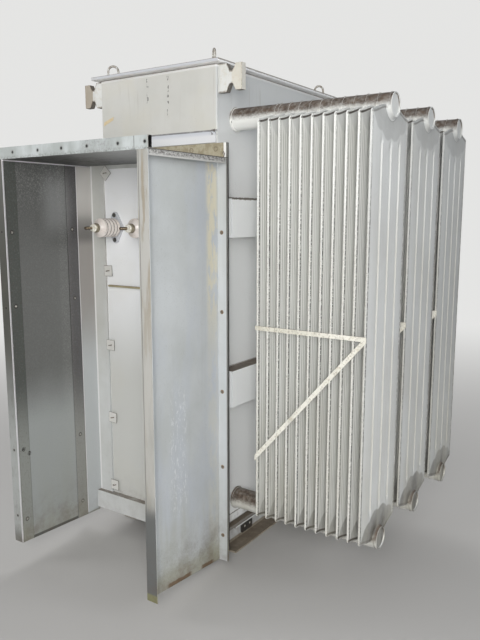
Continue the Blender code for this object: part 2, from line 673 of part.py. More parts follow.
def build_chamber_walls(paint):
    """Folded side walls: a sheet with an outward lip at each end, and two upright straps inside."""
    depth_path = [(CHAMBER_LIP, CHAMBER_FRONT), (0, CHAMBER_FRONT), (0, CHAMBER_REAR),
                  (CHAMBER_LIP, CHAMBER_REAR)]
    strap_ends = (CHAMBER_FRONT + STRAP_WIDTH, CHAMBER_REAR - STRAP_REAR_SETBACK)
    right_feet = (RIGHT_WALL_FOOT_FRONT, RIGHT_WALL_FOOT_REAR)
    left_feet = (LEFT_WALL_FOOT_FRONT, LEFT_WALL_FOOT_REAR)
    walls = (("chamber_wall_right", 1, CHAMBER_INNER_RIGHT, right_feet),
             ("chamber_wall_left", -1, CHAMBER_INNER_LEFT, left_feet))
    for name, sign, inner, feet in walls:
        path = [(u + (SHEET if u else 0), v) for u, v in depth_path]
        outline = [(inner + sign * u, v) for u, v in folded_sheet(path, -SHEET)]
        lowest = min(feet)
        sheet = extruded(outline, lowest, CHAMBER_TOP, plan)
        for vertex in sheet.verts:
            if vertex.co.z < (lowest + CHAMBER_TOP) / 2:
                vertex.co.z = wall_foot(feet, vertex.co.y)
        wall = add_object(name, sheet, paint)
        near, far = sorted((inner - sign * STRAP_THICKNESS, inner + sign * SHEET / 2))
        for number, end in enumerate(strap_ends, 1):
            start = max(end - STRAP_WIDTH, CHAMBER_FRONT + SHEET)
            foot = max(wall_foot(feet, start), wall_foot(feet, end))
            low = (near, start, foot + STRAP_END_INSET)
            high = (far, end, CHAMBER_TOP - STRAP_END_INSET)
            add_boolean(wall, add_object(f"{name}_strap_{number}", box(low, high)), "UNION")


def build_chamber_roof(paint):
    """Folded roof: a hollow lip at the front, a lip standing up at the rear and a skirt at each side."""
    base = ROOF_UNDERSIDE
    lip = base + SHEET + ROOF_LIP
    inner_y = CHAMBER_FRONT + ROOF_LIP_RETURN
    path = [(inner_y, base + SHEET + FOLD_GAP), (inner_y, lip), (CHAMBER_FRONT, lip), (CHAMBER_FRONT, base),
            (CHAMBER_REAR, base), (CHAMBER_REAR, base + SHEET + ROOF_REAR_LIP)]
    outline = folded_sheet(path, SHEET)
    roof = add_object("chamber_roof", extruded(outline, CHAMBER_LIP_LEFT, CHAMBER_LIP_RIGHT, side), paint)
    for name, sign, end in (("left", -1, CHAMBER_LIP_LEFT), ("right", 1, CHAMBER_LIP_RIGHT)):
        near, far = sorted((end - sign * SHEET, end - sign * SHEET * 2))
        low = (near, CHAMBER_FRONT + ROOF_SKIRT_END_GAP, base - ROOF_SKIRT)
        high = (far, CHAMBER_REAR - ROOF_SKIRT_END_GAP, base + SHEET / 2)
        add_boolean(roof, add_object("chamber_roof_skirt_" + name, box(low, high)), "UNION")


# Bushings

def bushing_profile():
    """Porcelain body with round edged sheds: (distance from the tank wall, radius)."""
    body = BUSHING_BODY_RADIUS
    shed = BUSHING_SHED_RADIUS
    profile = [(0, 0), (0, body), (BUSHING_BODY_START, body)]
    for k in range(BUSHING_SHED_COUNT):
        start = BUSHING_BODY_START + k * BUSHING_SHED_LENGTH
        profile.append((start + BUSHING_SHED_LENGTH * BUSHING_SHED_RISE_SHARE, shed))
        profile.append((start + BUSHING_SHED_LENGTH * BUSHING_SHED_FALL_SHARE, shed))
        profile.append((start + BUSHING_SHED_LENGTH, body))
    end = BUSHING_BODY_START + BUSHING_SHED_COUNT * BUSHING_SHED_LENGTH
    profile[-1] = (end, (shed + body) / 2)
    profile.append((end + BUSHING_NOSE_LENGTH, WASHER_RADIUS))
    profile.append((end + BUSHING_NOSE_LENGTH, 0))
    return profile, end + BUSHING_NOSE_LENGTH


def terminal_profile(start):
    """Washer, stud, nut and rounded tip in one turned piece."""
    nut = start + WASHER_THICKNESS + NUT_FROM_WASHER
    end = start + STUD_LENGTH
    return [(start, 0), (start, WASHER_RADIUS), (start + WASHER_THICKNESS, WASHER_RADIUS),
            (start + WASHER_THICKNESS, STUD_RADIUS), (nut, STUD_RADIUS), (nut, NUT_RADIUS),
            (nut + NUT_THICKNESS, NUT_RADIUS), (nut + NUT_THICKNESS, STUD_RADIUS),
            (end - STUD_TIP, STUD_RADIUS), (end, STUD_RADIUS / 2), (end, 0)]


def clamp_outline():
    """Diamond with round ends, long axis upright, anticlockwise, centred on the bushing."""
    radius = CLAMP_EAR_RADIUS
    ear = CLAMP_HALF_HEIGHT - radius
    outline = [(CLAMP_HALF_WIDTH, 0)]
    for k in range(CLAMP_EAR_POINTS):
        angle = math.pi * (k + 1) / (CLAMP_EAR_POINTS + 1)
        outline.append((radius * math.cos(angle), ear + radius * math.sin(angle)))
    outline.append((-CLAMP_HALF_WIDTH, 0))
    for k in range(CLAMP_EAR_POINTS):
        angle = math.pi * (k + 1) / (CLAMP_EAR_POINTS + 1)
        outline.append((-radius * math.cos(angle), -ear - radius * math.sin(angle)))
    return outline


def build_bushing(number, centre_x, porcelain, brass, paint):
    wall = WALL_FRONT - SEAT

    def outward(u, v, w):
        return Vector((centre_x + u, wall - w, BUSHING_LEVEL + v))

    profile, nose = bushing_profile()
    body = add_object(f"bushing_{number}", turned(profile, BUSHING_SIDES, outward), porcelain)
    shade_round(body)
    stud = turned(terminal_profile(nose + SEAT), STUD_SIDES, outward)
    shade_round(add_object(f"bushing_terminal_{number}", stud, brass))
    outline = [(centre_x + u, BUSHING_LEVEL + v) for u, v in clamp_outline()]
    plate = extruded(outline, wall - CLAMP_THICKNESS, wall, front)
    clamp = add_object(f"bushing_clamp_{number}", plate, paint)
    hole = [(-OVERRUN, 0), (-OVERRUN, BUSHING_BODY_RADIUS + SEAT),
            (CLAMP_THICKNESS + OVERRUN, BUSHING_BODY_RADIUS + SEAT), (CLAMP_THICKNESS + OVERRUN, 0)]
    cutter = add_object(f"bushing_clamp_{number}_hole", turned(hole, BUSHING_SIDES, outward))
    add_boolean(clamp, cutter, "DIFFERENCE")
    for sign in (1, -1):
        top = CLAMP_THICKNESS + CLAMP_BOLT_HEIGHT
        root = CLAMP_THICKNESS / 2
        bolt = [(root, 0), (root, CLAMP_BOLT_RADIUS), (top, CLAMP_BOLT_RADIUS), (top, 0)]
        level = sign * CLAMP_BOLT_SPACING / 2
        head = turned(bolt, CLAMP_BOLT_SIDES, lambda u, v, w, level=level: outward(u, v + level, w))
        add_boolean(clamp, add_object(f"bushing_clamp_{number}_bolt", head), "UNION")


def build_bushings(porcelain, brass, paint):
    middle = (BUSHING_COUNT - 1) / 2
    for k in range(BUSHING_COUNT):
        share = BUSHING_OFFSET_SHARE + (k - middle) * BUSHING_SPACING_SHARE
        build_bushing(k + 1, TANK_WIDTH * share, porcelain, brass, paint)


def centre_plan():
    """Shift every object so that the origin is the middle of the whole plan at floor level."""
    middle = Vector(((PLAN_LEFT + PLAN_RIGHT) / 2, (PLAN_FRONT + PLAN_REAR) / 2, 0))
    for item in bpy.data.objects:
        item.location -= middle


def main():
    clear_scene()
    tank_paint = make_material("tank paint", (0.55, 0.56, 0.53), 0.55)
    radiator_paint = make_material("radiator paint", (0.50, 0.51, 0.49), 0.50)
    chamber_paint = make_material("chamber paint", (0.52, 0.54, 0.54), 0.55)
    base_paint = make_material("base paint", (0.42, 0.40, 0.36), 0.70)
    porcelain = make_material("porcelain", (0.74, 0.71, 0.65), 0.25)
    brass = make_material("brass", (0.52, 0.46, 0.33), 0.40, 1.0)
    build_tank(tank_paint)
    build_base(base_paint)
    pad_place = WALL_FRONT + RAIL_SETBACK + EARTH_PAD_FROM_END
    build_earth_pad("earth_pad_front", 1, pad_place, base_paint)
    build_earth_pad("earth_pad_rear", -1, -pad_place, base_paint)
    build_stiffeners(tank_paint)
    build_front_bars(tank_paint)
    build_lugs(tank_paint)
    build_cover_eyes(tank_paint)
    build_radiators(radiator_paint)
    build_mounting_frame(tank_paint)
    build_chamber_walls(chamber_paint)
    build_chamber_roof(chamber_paint)
    build_bushings(porcelain, brass, tank_paint)
    centre_plan()


main()
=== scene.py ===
"""Looks of the power transformer: paint, dust, rust, fine fluted radiators, bolts, light and camera."""
import math
import random

import bmesh
import bpy
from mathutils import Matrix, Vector


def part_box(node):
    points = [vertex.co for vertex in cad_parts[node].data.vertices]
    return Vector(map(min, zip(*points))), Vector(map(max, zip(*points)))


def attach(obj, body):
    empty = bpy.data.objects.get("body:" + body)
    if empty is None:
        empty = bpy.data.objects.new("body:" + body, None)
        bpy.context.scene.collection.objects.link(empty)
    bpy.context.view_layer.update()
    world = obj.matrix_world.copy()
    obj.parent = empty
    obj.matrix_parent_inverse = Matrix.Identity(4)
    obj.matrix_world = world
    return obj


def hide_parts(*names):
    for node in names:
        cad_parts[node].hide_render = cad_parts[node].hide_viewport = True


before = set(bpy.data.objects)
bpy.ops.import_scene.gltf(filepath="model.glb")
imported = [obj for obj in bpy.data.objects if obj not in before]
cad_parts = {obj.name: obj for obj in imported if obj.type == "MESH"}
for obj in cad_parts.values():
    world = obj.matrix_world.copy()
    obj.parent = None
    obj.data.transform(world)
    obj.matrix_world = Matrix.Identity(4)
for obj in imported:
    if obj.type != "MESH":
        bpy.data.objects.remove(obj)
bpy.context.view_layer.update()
random.seed(7)

# What the looks are fitted to, read from the frame
tank_low, tank_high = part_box("tank_shell")
CENTRE_X = (tank_low.x + tank_high.x) / 2
CENTRE_Y = (tank_low.y + tank_high.y) / 2
HALF_WIDTH = (tank_high.x - tank_low.x) / 2
HALF_LENGTH = (tank_high.y - tank_low.y) / 2
WALL_TOP = tank_high.z
COVER_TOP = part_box("tank_cover")[1].z
frame_low, frame_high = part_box("mounting_frame")
wall_right_low, wall_right_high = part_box("chamber_wall_right")
wall_left_low, wall_left_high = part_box("chamber_wall_left")
roof_low, roof_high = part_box("chamber_roof")
LEFT_SIDE_X = wall_left_low.x
LIP_FRONT_Y = wall_left_low.y
CHAMBER_DEEP = wall_right_high.y - wall_right_low.y
band_low, band_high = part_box("front_top_band")
BAND_MIDDLE = (band_low.z + band_high.z) / 2
BAND_HALF = (band_high.z - band_low.z) / 2
BAND_FRONT, BAND_RIGHT = band_low.y, band_high.x
lug_low, lug_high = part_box("lifting_lug_front_right")
LUG_LEVEL = (lug_low.z + lug_high.z) / 2
LUG_HALF = (lug_high.z - lug_low.z) / 2
LUG_REACH = lug_high.x - tank_high.x
LUG_NOTCH_OUT = 0.061

# Heights of the walls' sloping feet, in front and behind
RIGHT_FEET = (0.064, 0.019)
LEFT_FEET = (0.083, 0.063)

# Small parts and marks: heights above the floor, with places behind the tank's centre for the screws
# and angles in degrees for the tabs
ROOF_HOLE_LEVEL = 1.7465
STIFFENER_TOPS = (1.5671, 0.862)
STIFFENER_TALL = 0.155
PLATE_WELD_LEVEL = 0.1835
FLANGE_BOLTS = (1.433, 1.11, 0.774, 0.445, 0.135)
STRAP_SCREWS = ((-0.942, (1.432, 1.126, 0.185)), (-0.62, (1.439, 1.128, 0.48, 0.148)))
TABS = ((1.688, 45), (1.249, 2), (0.901, 0), (0.55, -3), (0.212, 0))

# Radiators
PANELS = 11
PITCH = 0.045
TANK_LENGTH = 0.99
SPACING = TANK_LENGTH * 0.404
PANEL_WIDTH = SPACING * 0.8625
HALF_PANEL = PANEL_WIDTH / 2
FLUTE = PANEL_WIDTH / 4
RADIATOR_FIRST = TANK_LENGTH * (0.1359 - 0.5)
PANEL_FIRST = HALF_WIDTH + 0.2166
PANEL_LAST = PANEL_FIRST + (PANELS - 1) * PITCH
LAST_PANEL_X = CENTRE_X + PANEL_LAST
HEADER_RADIUS = 0.04445
HEADER_UP = 1.889
HEADER_DOWN = 0.249
CORNER_DROP = 0.029
CORNER_RADIUS = 0.014
SHOULDER = 0.026
CROWN = 0.048
RIM_GAPS = (0.0005, 0.0016, 0.0035, 0.0054, 0.0065, 0.007, 0.009, 0.017, 0.029, 0.047)
HEAD_GAPS = (0.08, 0.1, 0.11, 0.12, 0.13, 0.14, 0.16)
RIM_WIDTH = 0.007
RIM_HALF = 0.0038
GROOVE_HALF = 0.0075
GROOVE_SIDE = 0.004
GROOVE_DEPTH = 0.0056
PIPE_STUB = 0.021

RIGHT, REAR, UP = Vector((1, 0, 0)), Vector((0, 1, 0)), Vector((0, 0, 1))
CORNERS = ((-1, -1), (1, -1), (1, 1), (-1, 1))


def at(x, y, z):
    """A point given from the tank's centre at floor level, in the frame."""
    return Vector((x + CENTRE_X, y + CENTRE_Y, z))


# Node graphs. A colour is written in 0 to 255 steps, as it is read off a picture.

def linear(steps):
    """Such a colour as linear light."""
    return [c / 255 / 12.92 if c / 255 <= 0.04045 else ((c / 255 + 0.055) / 1.055) ** 2.4 for c in steps]


class Nodes:
    """Adds nodes to a tree."""

    def __init__(self, tree):
        self.tree = tree

    def node(self, kind, inputs, **settings):
        made = self.tree.nodes.new(kind)
        for key, value in settings.items():
            setattr(made, key, value)
        for key, value in inputs.items():
            self.put(made.inputs[key], value)
        return made

    def put(self, socket, value):
        if isinstance(value, Field):
            value = value.socket
        if isinstance(value, bpy.types.NodeSocket):
            self.tree.links.new(value, socket)
        elif isinstance(value, tuple) and len(value) == 3 and socket.type == "RGBA":
            socket.default_value = (*linear(value), 1.0)
        else:
            socket.default_value = value


class Field:
    """A number that varies over a surface. Sums and products of fields become math nodes."""

    def __init__(self, graph, socket):
        self.graph, self.socket = graph, socket

    def __add__(self, other):
        return self.graph.reckon("ADD", self, other)

    def __sub__(self, other):
        return self.graph.reckon("SUBTRACT", self, other)

    def __rsub__(self, other):
        return self.graph.reckon("SUBTRACT", other, self)

    def __mul__(self, other):
        return self.graph.reckon("MULTIPLY", self, other)

    def __abs__(self):
        return self.graph.reckon("ABSOLUTE", self)

    def sine(self):
        return self.graph.reckon("SINE", self)

    def root(self):
        return self.graph.reckon("SQRT", self)

    def ramp(self, low, high, start, end, kind="LINEAR"):
        """Goes from start at low to end at high."""
        made = self.graph.node("ShaderNodeMapRange", {0: self, 1: low, 2: high, 3: start, 4: end},
                               interpolation_type=kind)
        return Field(self.graph, made.outputs[0])

    def step(self, low, high, start=0.0, end=1.0):
        """The same, eased at both ends."""
        return self.ramp(low, high, start, end, "SMOOTHSTEP")

    def band(self, centre, half, soft):
        """1 near centre, 0 beyond half plus soft."""
        return abs(self - centre).step(half, half + soft, 1.0, 0.0)


class Graph(Nodes):
    """A material's nodes, with its colour as it is built up layer by layer."""

    def __init__(self, name, roughness, metallic=0.0, coat=0.0):
        self.material = bpy.data.materials.new(name)
        self.material.use_nodes = True
        super().__init__(self.material.node_tree)
        self.shader = self.tree.nodes["Principled BSDF"]
        self.shader.inputs["Roughness"].default_value = roughness
        self.shader.inputs["Metallic"].default_value = metallic
        self.shader.inputs["Coat Weight"].default_value = coat
        self.position = self.node("ShaderNodeTexCoord", {}).outputs["Object"]
        self.x, self.y, self.z = self.split(self.position)
        self.nx, self.ny, self.nz = self.split(self.node("ShaderNodeNewGeometry", {}).outputs["Normal"])
        self.colour = None

    def split(self, vector):
        return [Field(self, part) for part in self.node("ShaderNodeSeparateXYZ", {0: vector}).outputs]

    def reckon(self, operation, a, b=0.0, clamp=False):
        made = self.node("ShaderNodeMath", {0: a, 1: b}, operation=operation, use_clamp=clamp)
        return Field(self, made.outputs[0])

    def most(self, first, *others):
        for value in others:
            first = self.reckon("MAXIMUM", first, value)
        return first

    def total(self, a, b):
        """The sum of two fields, held to 0 and 1."""
        return self.reckon("ADD", a, b, True)

    def placed(self, stretch, place):
        return self.node("ShaderNodeMapping", {"Vector": self.position, "Scale": stretch,
                                               "Location": place}).outputs[0]

    def noise(self, scale, detail=3, roughness=0.55, shift=0, stretch=(1, 1, 1)):
        place = self.placed(stretch, (shift, shift * 1.7, shift * 0.6))
        made = self.node("ShaderNodeTexNoise", {"Vector": place, "Scale": scale, "Detail": detail,
                                                "Roughness": roughness})
        return Field(self, made.outputs[0])

    def spots(self, scale, size, shift=0):
        place = self.placed((1, 1, 1), (shift, shift, shift))
        made = self.node("ShaderNodeTexVoronoi", {"Vector": place, "Scale": scale})
        return Field(self, made.outputs["Distance"]).step(size, size * 0.55)

    def around(self, points, radius):
        """1 within radius of any of the points."""
        result = 0.0
        for point in points:
            far = self.node("ShaderNodeVectorMath", {0: self.position, 1: point}, operation="DISTANCE")
            near = Field(self, far.outputs["Value"]).step(radius + 0.0008, radius - 0.0004)
            result = self.most(result, near)
        return result

    def mix(self, amount, a, b):
        return self.node("ShaderNodeMix", {0: amount, 6: a, 7: b}, data_type="RGBA").outputs[2]

    def lay(self, amount, tone):
        """Lays a tone over the colour."""
        self.colour = self.mix(amount, self.colour, tone)

    def finish(self, roughness, height, strength, distance):
        self.put(self.shader.inputs["Base Color"], self.colour)
        self.put(self.shader.inputs["Roughness"], roughness)
        bump = self.node("ShaderNodeBump", {"Height": height, "Strength": strength, "Distance": distance})
        self.put(self.shader.inputs["Normal"], bump.outputs[0])
        return self.material


DUST = (112, 100, 86)
GRIME = (84, 78, 68)
RUST = (104, 66, 40)
CHIP = (70, 62, 54)


def paint(name, base, dark, roughness=0.5, dust=0.8, streaks=0.35, chips=0.35, extra=None, low_grime=0.4):
    """Old sprayed paint: mottling, runs of dirt, dust on what faces up, chips and a grimy foot."""
    g = Graph(name, roughness)
    cloud = g.noise(2.2, 5, 0.6)
    fine = g.noise(34, 4, 0.6, 3)
    run = g.noise(14, 4, 0.65, 5, (1, 1, 0.05))
    g.colour = g.mix(cloud.step(0.35, 0.68), base, dark)
    run_mask = run.step(0.52, 0.72) * streaks
    g.lay(run_mask, g.mix(0.6, dark, GRIME))
    speckle = fine.step(0.6, 0.78) * 0.3
    g.lay(speckle, dark)
    if extra is not None:
        extra(g)
    patch = g.noise(7, 3, 0.5, 9).step(0.5, 0.7)
    chip = g.spots(150, 0.2, shift=2) * patch * chips
    g.lay(chip, CHIP)
    foot = g.z.step(0.34, 0.06) * g.noise(11, 5, 0.7, 4).step(0.38, 0.68) * low_grime
    g.lay(foot, g.mix(0.5, GRIME, RUST))
    top = g.nz.step(0.3, 0.8)
    dust_mask = top * g.noise(24, 5, 0.7, 7).step(0.25, 0.6, 0.55, 1) * dust
    g.lay(dust_mask, DUST)
    rough = g.total(g.most(dust_mask, foot * 0.6) * 0.32,
                    fine.step(0.3, 0.8, roughness - 0.07, roughness + 0.12))
    height = fine * 0.5 + g.noise(210, 2, 0.5, 1) * 0.5
    height = height - chip * 1.5
    return g.finish(rough, height, 0.22, 0.0008)


def tank_marks(g):
    """Cool side faces, painted lighter low down and darker near the top as painted light and shade; painted light
    along the cover's edges and under it, on the end wall inside the chamber and on the front ends that jut out; a
    painted shadow line along the top of the front band; dark stiffener tops, chips in a row down the end wall, a
    brown foot.
    """
    # Painted light and shade: side faces are painted lighter low down and darker near the top, for how the light
    # falls on them.
    side = abs(g.nx).step(0.4, 0.8)
    g.lay(side * 0.9, g.mix(g.z.step(1.7, 1.95), (248, 250, 251), (202, 205, 206)))
    g.lay(g.z.step(WALL_TOP + 0.0002, WALL_TOP + 0.0006) * g.ny.step(-0.4, -0.8) * 0.8, (200, 203, 210))
    # Painted highlight: the cover's side edges are painted near white against the shade on them; their upper part
    # is dusty.
    brim = abs(g.nx).step(0.3, 0.6) * g.z.step(WALL_TOP + 0.0002, WALL_TOP + 0.0006)
    g.lay(brim * 0.9, (248, 249, 250))
    dusty = (g.z + g.noise(80, 4, 0.8, 63) * 0.012).step(COVER_TOP - 0.002, COVER_TOP + 0.002)
    g.lay(brim * dusty * 0.8, (126, 118, 108))
    face = g.ny.step(-0.4, -0.8)
    # Painted light: the cover's underside and the wall just below it are painted white against the shadow there.
    under = g.z.band(WALL_TOP, 0.0008, 0.001) * g.nz.step(-0.4, -0.8)
    rim = g.z.step(WALL_TOP - 0.016, WALL_TOP - 0.004) * g.z.step(WALL_TOP + 0.001, WALL_TOP) * 0.8
    g.lay(g.most(under, rim), (250, 250, 250))
    # Painted light: the end wall inside the chamber is painted paler, against the shade under the roof.
    inside_painted_light = (face * g.z.step(WALL_TOP - 0.36, WALL_TOP - 0.38)
                 * g.y.step(tank_low.y + 0.004, tank_low.y + 0.002))
    pale = g.mix(g.z.step(1.25, 0.7), (246, 248, 250), (206, 207, 203))
    g.lay(inside_painted_light * 0.9, pale)
    g.lay(g.noise(3.5, 3, 0.5, 2).step(0.48, 0.62) * face * g.z.step(1.7, 1.8, 0.1, 0.3), (208, 204, 186))
    drip = g.noise(60, 2, 0.5, 12, (1, 1, 0.06))
    fade = g.z.step(1.84, 1.98) * g.z.step(2.09, 2.02)
    g.lay(drip.step(0.6, 0.72) * fade * 0.22, (150, 142, 126))
    for x, low, high in ((0.068, 1.9, 2.075), (-0.043, 1.96, 2.085)):
        row = g.x.band(x + CENTRE_X, 0.0035, 0.0025) * g.z.step(low, low + 0.02) * g.z.step(high, high - 0.01)
        dots = g.noise(95, 3, 0.7, 6, (0.8, 1, 0.5)).step(0.53, 0.58)
        g.lay(row * dots * face * 0.9, (70, 66, 62))
    band_face = (g.z.band(BAND_MIDDLE, BAND_HALF - 0.001, 0.001)
                 * g.y.step(BAND_FRONT + 0.004, BAND_FRONT + 0.002))
    g.lay(band_face * 0.9, g.mix(g.z.step(BAND_MIDDLE, BAND_MIDDLE + 0.016), (226, 228, 231), (204, 208, 216)))
    # Painted shade: a dark shadow line along the top edge of the front band.
    band_top_shadow = (g.z.band(BAND_MIDDLE + BAND_HALF + 0.001, 0.003, 0.0016) * face
        * g.x.step(BAND_RIGHT + 0.004, BAND_RIGHT - 0.002) * g.noise(30, 3, 0.7, 8).step(0.3, 0.5, 0.45, 1))
    g.lay(band_top_shadow * 0.85, (104, 104, 106))
    corner = (g.x.step(BAND_RIGHT - 0.035, BAND_RIGHT - 0.015)
              * g.x.step(BAND_RIGHT + 0.012, BAND_RIGHT + 0.004)
              * g.z.band(BAND_MIDDLE + BAND_HALF - 0.004, 0.007, 0.008) * g.noise(120, 3, 0.7, 18).step(0.47, 0.53)
              * face)
    g.lay(corner, (72, 62, 54))
    jut = abs(g.x - CENTRE_X).step(HALF_WIDTH + 0.0025, HALF_WIDTH + 0.0035)
    shelf = jut * g.nz.step(0.35, 0.75) * g.noise(60, 4, 0.7, 4).step(0.25, 0.55, 0.65, 1)
    g.lay(shelf * g.z.step(1.9, 1.8), (96, 88, 80))
    uneven = g.z + g.noise(70, 4, 0.75, 24) * 0.012
    g.lay(side * uneven.band(1.5755, 0.0048, 0.002) * 0.9, (104, 94, 82))
    # Painted light: front faces of parts that jut out from the sides, the stiffeners' ends, are painted light
    # against the shade behind the chamber's flange.
    end = jut * face * g.z.step(1.9, 1.8) * 0.85
    g.lay(end, (205, 208, 210))
    foot = g.z.step(tank_low.z + 0.012, tank_low.z + 0.004) * 0.85
    g.lay(foot, (92, 84, 74))
    grime = g.z.step(tank_low.z + 0.075, tank_low.z + 0.02) * g.noise(40, 4, 0.7, 14).step(0.45, 0.7) * 0.5
    g.lay(grime, (140, 134, 122))


def near_y(g, offset, half, soft=0.0015):
    """1 within half of a distance behind the chamber's front."""
    return g.y.band(LIP_FRONT_Y + offset, half, soft)


def left_wall_marks(g):
    """Dull grey sheet with darker speckled straps, bright edges, rust and dirt at the foot; its inner face and the
    straps are painted darker towards the top as painted shade, the straps' sides dark as painted shade, with a
    painted glow up at the back and a painted shadow along the bottom edge.
    """
    wave = g.noise(1.6, 3, 0.5, 31) * 0.3
    level = g.z + wave
    facing = g.nx.step(0.3, 0.8)
    inner = facing * g.x.step(LEFT_SIDE_X + 0.03, LEFT_SIDE_X + 0.035)
    # Painted shade: the inner face is painted darker towards the top, where the roof shades it, and lighter low
    # down.
    dull = g.mix(level.step(0.98, 0.7), (108, 109, 107), (165, 169, 168))
    dull = g.mix(level.step(1.3, 1.85), dull, (92, 93, 91))
    blot = g.z.band(1.45, 0.03, 0.09) * g.y.step(LIP_FRONT_Y + 0.15, LIP_FRONT_Y + 0.32) * 0.6
    dull = g.mix(blot, dull, (72, 72, 70))
    high = g.z.step(1.66, 1.48, 0.9, 0.25)
    grain = g.noise(190, 3, 0.7, 2).step(0.46, 0.66) * 0.5 * high
    dull = g.mix(grain, dull, (168, 170, 168))
    pits = g.noise(260, 4, 0.8, 61).step(0.55, 0.64) * level.step(0.5, 1.3, 0.25, 0.55)
    dull = g.mix(pits, dull, (58, 58, 56))
    straps = ((0.033, 0.0275, (72, 76, 72), (136, 138, 130)), (0.351, 0.03, (82, 80, 82), (136, 134, 126)))
    for offset, half, tone, foot_tone in straps:
        strap = near_y(g, offset, half)
        # Painted shade: the straps are painted darker higher up, as the wall is.
        tone = g.mix(level.step(0.95, 0.55), tone, foot_tone)
        pale = g.noise(210, 4, 0.8, 23).step(0.54, 0.64) * 0.4
        tone = g.mix(pale, tone, (150, 152, 148))
        rusted = g.noise(120, 4, 0.75, 13).step(0.56, 0.63) * 0.75
        tone = g.mix(rusted, tone, (84, 68, 58))
        dull = g.mix(strap * level.step(0.55, 1, 0.6, 0.8), dull, tone)
        for side in (-1, 1):
            line = near_y(g, offset + side * half, 0.0009, 0.001)
            dull = g.mix(line * 0.6, dull, (56, 54, 50))
    # Painted highlight: a soft lighter glow up towards the back of the inner face.
    painted_glow = near_y(g, 0.27, 0.02, 0.09) * g.z.band(1.55, 0.05, 0.13)
    dull = g.mix(painted_glow * 0.45, dull, (158, 160, 160))
    flecks = g.noise(320, 3, 0.75, 19).step(0.52, 0.62)
    dull = g.mix(near_y(g, 0.302, 0.018, 0.03) * flecks * 0.35, dull, (176, 176, 172))
    g.lay(inner, dull)
    spots = [(wall_left_high.x, y + CENTRE_Y, z) for y, levels in STRAP_SCREWS for z in levels]
    g.lay(g.around(spots, 0.0095) * 0.75, (54, 50, 46))
    splashes = [(wall_left_high.x, LIP_FRONT_Y + 0.029, 0.503), (wall_left_high.x, LIP_FRONT_Y + 0.058, 0.477)]
    ragged = g.noise(160, 3, 0.8, 51).step(0.42, 0.52)
    g.lay(g.around(splashes, 0.01) * ragged, (40, 36, 32))
    # Bright lines painted along the front, top and rear edges of the inner face.
    bright_edge = (facing * g.most(near_y(g, 0, 0.0012), g.z.step(wall_left_high.z - 0.006, wall_left_high.z - 0.004),
                            near_y(g, 0.467, 0.0045)))
    g.lay(bright_edge * 0.9, (224, 222, 224))
    lip = g.ny.step(-0.3, -0.8) * g.y.step(LIP_FRONT_Y + 0.01, LIP_FRONT_Y + 0.005)
    lip_dull = g.mix(level.step(1.2, 0.55), (76, 76, 70), (166, 169, 167))
    lip_dull = g.mix(g.z.step(0.17, 0.1) * 0.8, lip_dull, (104, 104, 98))
    lip_dirt = g.noise(60, 4, 0.7, 41, (1, 1, 0.4)).step(0.48, 0.66) * 0.3
    lip_dull = g.mix(lip_dirt, lip_dull, (96, 92, 82))
    g.lay(lip, lip_dull)
    g.lay(lip * g.x.step(LEFT_SIDE_X + 0.0455, LEFT_SIDE_X + 0.0475) * 0.9, (226, 224, 228))
    # Painted shade: the sides of the straps are painted dark, more so higher up.
    flank = (abs(g.ny).step(0.5, 0.8) * g.x.step(LEFT_SIDE_X + 0.03, LEFT_SIDE_X + 0.035)
             * near_y(g, 0.23, 0.215))
    g.lay(flank * level.step(0.6, 1.1, 0.5, 0.95), (54, 52, 50))
    foot_marks(g, *LEFT_FEET, (), 0.35)
    # Painted shadow: a dark strip along the sloping bottom edge of the inner face.
    along = g.y.ramp(LIP_FRONT_Y, LIP_FRONT_Y + CHAMBER_DEEP, *LEFT_FEET)
    g.lay((g.z - along).step(0.015, 0.012) * facing * near_y(g, 0.19, 0.13) * 0.85, (72, 74, 70))
    points = [(CENTRE_X - 0.425, LIP_FRONT_Y, z) for z in (1.434, 1.12, 0.503, 0.204)]
    drilled(g, points, 0.0046)


def drilled(g, points, radius):
    """Holes painted as near-black discs, the shade seen through thin sheet, each with a worn ring."""
    g.lay(g.around(points, radius * 1.7) * 0.35, (104, 96, 86))
    # Painted shade: the hole itself is a near-black disc.
    g.lay(g.around(points, radius), (16, 16, 16))


def foot_marks(g, front_foot, rear_foot, rusts, strength=1):
    """Faint olive runs low on a sheet, and brown rust along its sloping lower edge where rusts says."""
    along = g.y.ramp(LIP_FRONT_Y, LIP_FRONT_Y + CHAMBER_DEEP, front_foot, rear_foot)
    rise = g.z - along
    run = g.noise(9, 4, 0.6, 21, (1, 1, 0.12))
    sheet = abs(g.nx).step(0.4, 0.8)
    g.lay(run.step(0.42, 0.66) * rise.step(0.56, 0.02) * sheet * (0.5 * strength), (156, 156, 134))
    grain = g.noise(170, 4, 0.8, 23).step(0.44, 0.66) * rise.step(0.3, 0.01) * sheet * (0.45 * strength)
    g.lay(grain, (128, 126, 108))
    wave = g.noise(12, 3, 0.6, 43) * 0.08
    olive = (rise - wave).step(0.075, 0) * sheet * (0.5 * strength)
    g.lay(olive, (146, 142, 112))
    ragged = rise - g.noise(60, 4, 0.75, 8) * 0.022
    for centre, half in rusts:
        g.lay(near_y(g, centre, half, 0.02) * ragged.step(0.009, 0.003) * sheet * 0.9, (108, 84, 56))


